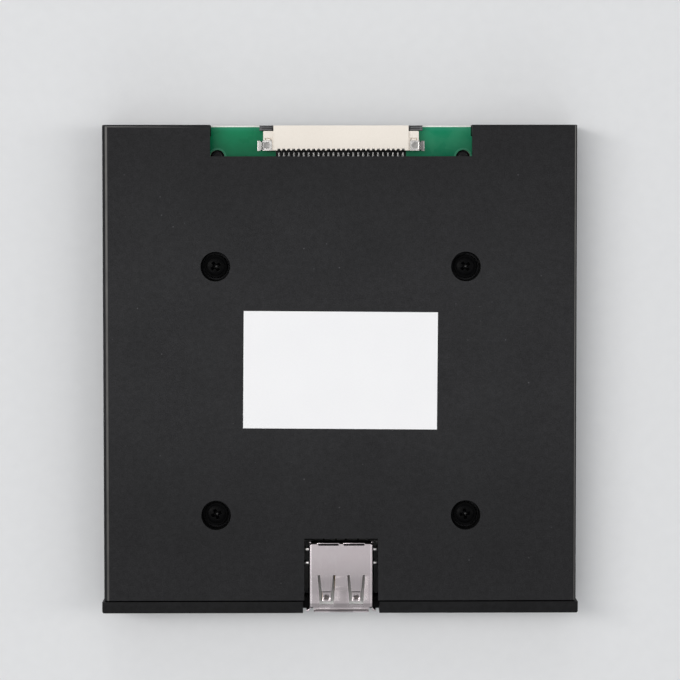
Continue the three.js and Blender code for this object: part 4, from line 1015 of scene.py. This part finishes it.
def ffc_housing():
    # outline of the top plate, its front edge notched over every contact, with rounded ribs between
    edge = [(-13.57, 49.1), (-13.57, 44.1)]
    for i in range(WAYS):
        x = ffc_x(i)
        prev = -13.57 if i == 0 else None
        if prev is not None:
            edge += [(x - 0.40, 44.1)] + arc(x - 0.40, 44.24, 0.14, -90, 0, 3)
        edge += [(x - 0.26, 44.46), (x + 0.26, 44.46)]
        if i < WAYS - 1:
            edge += arc(x + 0.5, 44.34, 0.24, 180, 360, 8)
        else:
            edge += arc(x + 0.40, 44.24, 0.14, 180, 270, 3) + [(13.57, 44.1)]
    edge += [(13.57, 49.1)]
    bm = bmesh.new()
    add_prism(bm, "Z", edge, 9.95, 10.85)
    top = as_object(bm)
    bm = bmesh.new()
    # the ribs go down to the board in front
    add_prism(bm, "Z", [(a, min(b, 44.75)) for a, b in edge], 8.55, 10.1)
    boolean(top, as_object(bm), "UNION")
    bm = bmesh.new()
    add_box(bm, -13.7, 13.7, 45.3, 49.0, 8.05, 8.5)
    for sx in (-1, 1):
        x0, x1 = sorted((sx * 13.40, sx * 15.64))
        add_prism(bm, "Z", round_rect(x0, x1, 44.1, 48.0, 0.22, 4), 8.05, 10.3)
    boolean(top, as_object(bm), "UNION", own=True)
    # slots in the wings that take the hold-downs
    bm = bmesh.new()
    for sx in (-1, 1):
        for x0, x1, y0, y1 in ((13.95, 15.3, 46.42, 46.62), (13.95, 14.15, 45.9, 46.62), (15.1, 15.3, 46.15, 46.62)):
            a, b = sorted((sx * x0, sx * x1))
            add_box(bm, a, b, y0, y1, 9.6, 10.6)
    boolean(top, as_object(bm), own=True)
    # cable mouth in the rear, wider at its lips
    bm = bmesh.new()
    add_prism(bm, "X", [(48.35, 9.95), (49.4, 10.28), (49.4, 9.6), (48.35, 9.6)], -13.3, 13.3)
    boolean(top, as_object(bm))
    for v in top.data.vertices:
        v.co.x += FFC_X
    return finish_piece(top, "ffc_housing_detail", "drive", cream, ("ffc_housing",), 0.07, 2, 40)


def ffc_slider():
    bm = bmesh.new()
    add_prism(bm, "X", [(46.2, 8.95), (46.6, 8.62), (48.3, 8.62), (48.3, 9.25), (46.6, 9.25)], -12.9, 12.9)
    ob = as_object(bm)
    bm = bmesh.new()
    add_box(bm, -13.5, 13.5, 48.2, 49.1, 8.62, 9.3)
    # ears: three ribs to grip, and a rounded outer end
    for sx in (-1, 1):
        x0, x1 = 13.88, 16.4
        side = [(48.08, 8.56), (49.15, 8.56)]
        top = []
        for c in (49.035, 48.655, 48.275):
            top += [(c + 0.15, 9.45), (c + 0.085, 9.80), (c, 9.85), (c - 0.085, 9.80), (c - 0.15, 9.45)]
        pts = side + [(min(49.15, max(48.08, y)), z) for y, z in top]
        a, b = sorted((sx * x0, sx * x1))
        add_prism(bm, "X", pts, a, b)
        a, b = sorted((sx * 13.4, sx * 13.95))
        add_prism(bm, "X", [(48.08, 8.56), (49.15, 8.56), (49.15, 8.95), (48.08, 8.95)], a, b)
        # rounded end that joins the ribs
        c0, c1 = sorted((sx * 15.85, sx * 16.4))
        add_prism(bm, "Z", round_rect(c0, c1, 48.08, 49.15, 0.2, 4), 8.56, 9.78)
    boolean(ob, as_object(bm), "UNION", own=True)
    for v in ob.data.vertices:
        v.co.x += FFC_X
    return finish_piece(ob, "ffc_slider_detail", "cable_lock", slider_grey, ("ffc_slider",), 0.035, 2, 34)


def ffc_contacts():
    bm = bmesh.new()
    for i in range(WAYS):
        x = FFC_X + ffc_x(i)
        outer = [(42.3, 8.06)] + [(43.75, 8.06)] + arc(43.75, 8.36, 0.30, -90, 0, 4) + [(44.05, 9.2)] + [(44.5, 9.45), (47.6, 9.6)]
        inner = [(47.6, 9.8), (44.42, 9.66), (43.88, 9.3)] + arc(43.7, 8.42, 0.18, 0, -90, 4)[0:] + [(42.38, 8.24), (42.3, 8.18)]
        add_prism(bm, "X", outer + inner, x - 0.15, x + 0.15)
    ob = as_object(bm)
    return finish_piece(ob, "ffc_contacts_detail", "drive", tinned_dark, ("ffc_contacts",), 0.02, 2, 34)


def ffc_solder():
    bm = bmesh.new()
    for i in range(WAYS):
        x = FFC_X + ffc_x(i)
        blob(bm, x, 42.95, BOARD_TOP + 0.005, 0.23, 0.75, 0.09, 14, 4)
    ob = as_object(bm)
    return finish_piece(ob, "ffc_solder", "drive", tinned_dark)


def holddown(sx):
    node = "ffc_holddown_left" if sx < 0 else "ffc_holddown_right"
    strip = [(13.9, 10.50), (13.9, 10.34), (15.62, 10.34), (15.76, 10.24), (15.76, 8.28), (15.9, 8.08), (16.85, 8.06), (16.85, 8.24), (16.02, 8.27), (15.94, 8.40), (15.94, 10.3), (15.74, 10.50)]
    pts = [(sx * a, b) for a, b in strip]
    bm = bmesh.new()
    add_prism(bm, "Y", pts, 44.05, 46.1)
    ob = as_object(bm)
    # stamped disc in the top face
    bm = bmesh.new()
    add_lathe(bm, [(0, 0.2), (0.66, 0.2), (0.63, -0.045), (0, -0.05)], 40, (sx * 14.92, 45.12, 10.50))
    boolean(ob, as_object(bm))
    # corner notches of the foot
    bm = bmesh.new()
    for y0, y1 in ((43.9, 44.3), (45.85, 46.3)):
        a, b = sorted((sx * 15.6, sx * 16.2))
        add_box(bm, a, b, y0, y1, 7.9, 8.9)
    boolean(ob, as_object(bm))
    for v in ob.data.vertices:
        v.co.x += FFC_X
    return finish_piece(ob, node + "_detail", "drive", tinned_dull, (node,), 0.03, 2, 34)


ffc_housing()
ffc_slider()
ffc_contacts()
ffc_solder()
holddown(-1)
holddown(1)


# ---------------------------------------------------------------- display
DISP_W, DISP_H, FACE_Y = 20.0, 9.0, -48.9


def segments(grow):
    """Outlines (x, z) of the bars and points of three digits."""
    t = 0.72 + 2 * grow
    w, h = 3.1, 5.7
    out = []

    def bar(cx, cz, length, upright):
        a, b = length / 2 + grow, t / 2
        pts = [(-a, 0), (-a + b, -b), (a - b, -b), (a, 0), (a - b, b), (-a + b, b)]
        out.append([(cx - v, cz + u) if upright else (cx + u, cz + v) for u, v in pts])

    for dx in (-6.3, 0, 6.3):
        x = DISP_X + dx
        for z in (-h / 2, 0, h / 2):
            bar(x, DISP_Z + z, w - 0.14, False)
        for u in (-w / 2, w / 2):
            for z in (-h / 4, h / 4):
                bar(x + u, DISP_Z + z, h / 2 - 0.14, True)
        out.append(circle(x - w / 2 - 0.95, DISP_Z + h / 2, 0.36 + grow, 20))
    return out


def display():
    x0, x1 = DISP_X - DISP_W / 2, DISP_X + DISP_W / 2
    z0, z1 = DISP_Z - DISP_H / 2, DISP_Z + DISP_H / 2
    bm = bmesh.new()
    add_box(bm, x0, x1, FACE_Y, -43.4, z0, z1)
    shell = as_object(bm)
    b = shell.modifiers.new("edges", "BEVEL")
    b.width, b.segments = 0.14, 3
    settle(shell)
    bm = bmesh.new()
    add_box(bm, x0 + 0.6, x1 - 0.6, FACE_Y + 0.8, -43, z0 + 0.6, z1 - 0.6)
    boolean(shell, as_object(bm))
    bm = bmesh.new()
    for p in segments(0.05):
        add_prism(bm, "Y", p, FACE_Y - 1, FACE_Y + 1)
    boolean(shell, as_object(bm), own=True)
    finish_piece(shell, "display_shell_detail", "drive", display_grey, ("display_shell",))
    bm = bmesh.new()
    add_box(bm, x0 + 0.7, x1 - 0.7, FACE_Y + 0.9, FACE_Y + 2.6, z0 + 0.7, z1 - 0.7)
    ob = as_object(bm)
    bm = bmesh.new()
    for p in segments(0.0):
        add_prism(bm, "Y", p, FACE_Y + 0.06, FACE_Y + 1.2)
    boolean(ob, as_object(bm), "UNION", own=True)
    finish_piece(ob, "display_diffuser_detail", "drive", segment_white, ("display_diffuser",))


display()

# ---------------------------------------------------------------- the other nodes keep their shape
for node in FINISH_OF:
    dress(node)


# ---------------------------------------------------------------- floor, light
def floor():
    bm = bmesh.new()
    s = 4000
    for x, y in ((-s, -s), (s, -s), (s, s), (-s, s)):
        bm.verts.new((x, y, -0.05))
    bm.faces.new(bm.verts)
    ob = as_object(bm)
    ob.data.transform(Matrix.Scale(MM, 4))
    ob.name = "floor"
    f = Finish("floor_paper", (0.74, 0.745, 0.755), 0.7, 0.0, 0.2)
    n = f.noise(400, 3.0)
    ob.data.materials.append(f.set(color=f.ramp(f.remap(n, 0.3, 0.7, 0.0, 1.0), [(0.0, (0.735, 0.74, 0.75)), (1.0, (0.75, 0.755, 0.765))])))


floor()

world = bpy.data.worlds.new("studio")
scene.world = world
world.use_nodes = True
world.node_tree.nodes["Background"].inputs["Color"].default_value = (0.94, 0.97, 1.0, 1)
world.node_tree.nodes["Background"].inputs["Strength"].default_value = 0.32


def area(name, at, aim, size_x, size_y, radiance, color=(1, 1, 1)):
    d = bpy.data.lights.new(name, "AREA")
    d.shape = "RECTANGLE"
    d.size, d.size_y = size_x, size_y
    d.energy = radiance * math.pi * size_x * size_y
    d.color = color
    ob = link(bpy.data.objects.new(name, d))
    ob.location = at
    ob.rotation_euler = (Vector(aim) - Vector(at)).to_track_quat("-Z", "Y").to_euler()
    return ob


area("top_box", (0.0, 0.02, 1.45), (0, 0, 0), 1.7, 1.7, 0.50)
area("left_strip", (-0.52, 0.16, 1.05), (0, 0, 0), 0.24, 0.9, 8.0, (1.0, 0.985, 0.97))
area("right_strip", (0.80, 0.05, 0.85), (0, 0, 0), 0.24, 0.9, 4.0, (1.0, 0.985, 0.97))
area("front_fill", (0.1, -1.2, 0.7), (0, 0, 0), 1.0, 0.6, 0.9)
area("rear_fill", (-0.1, 1.2, 0.8), (0, 0, 0), 1.0, 0.6, 1.0)

scene.view_settings.view_transform = "Standard"
scene.view_settings.look = "None"
scene.view_settings.exposure = 0.0
scene.view_settings.gamma = 1.0
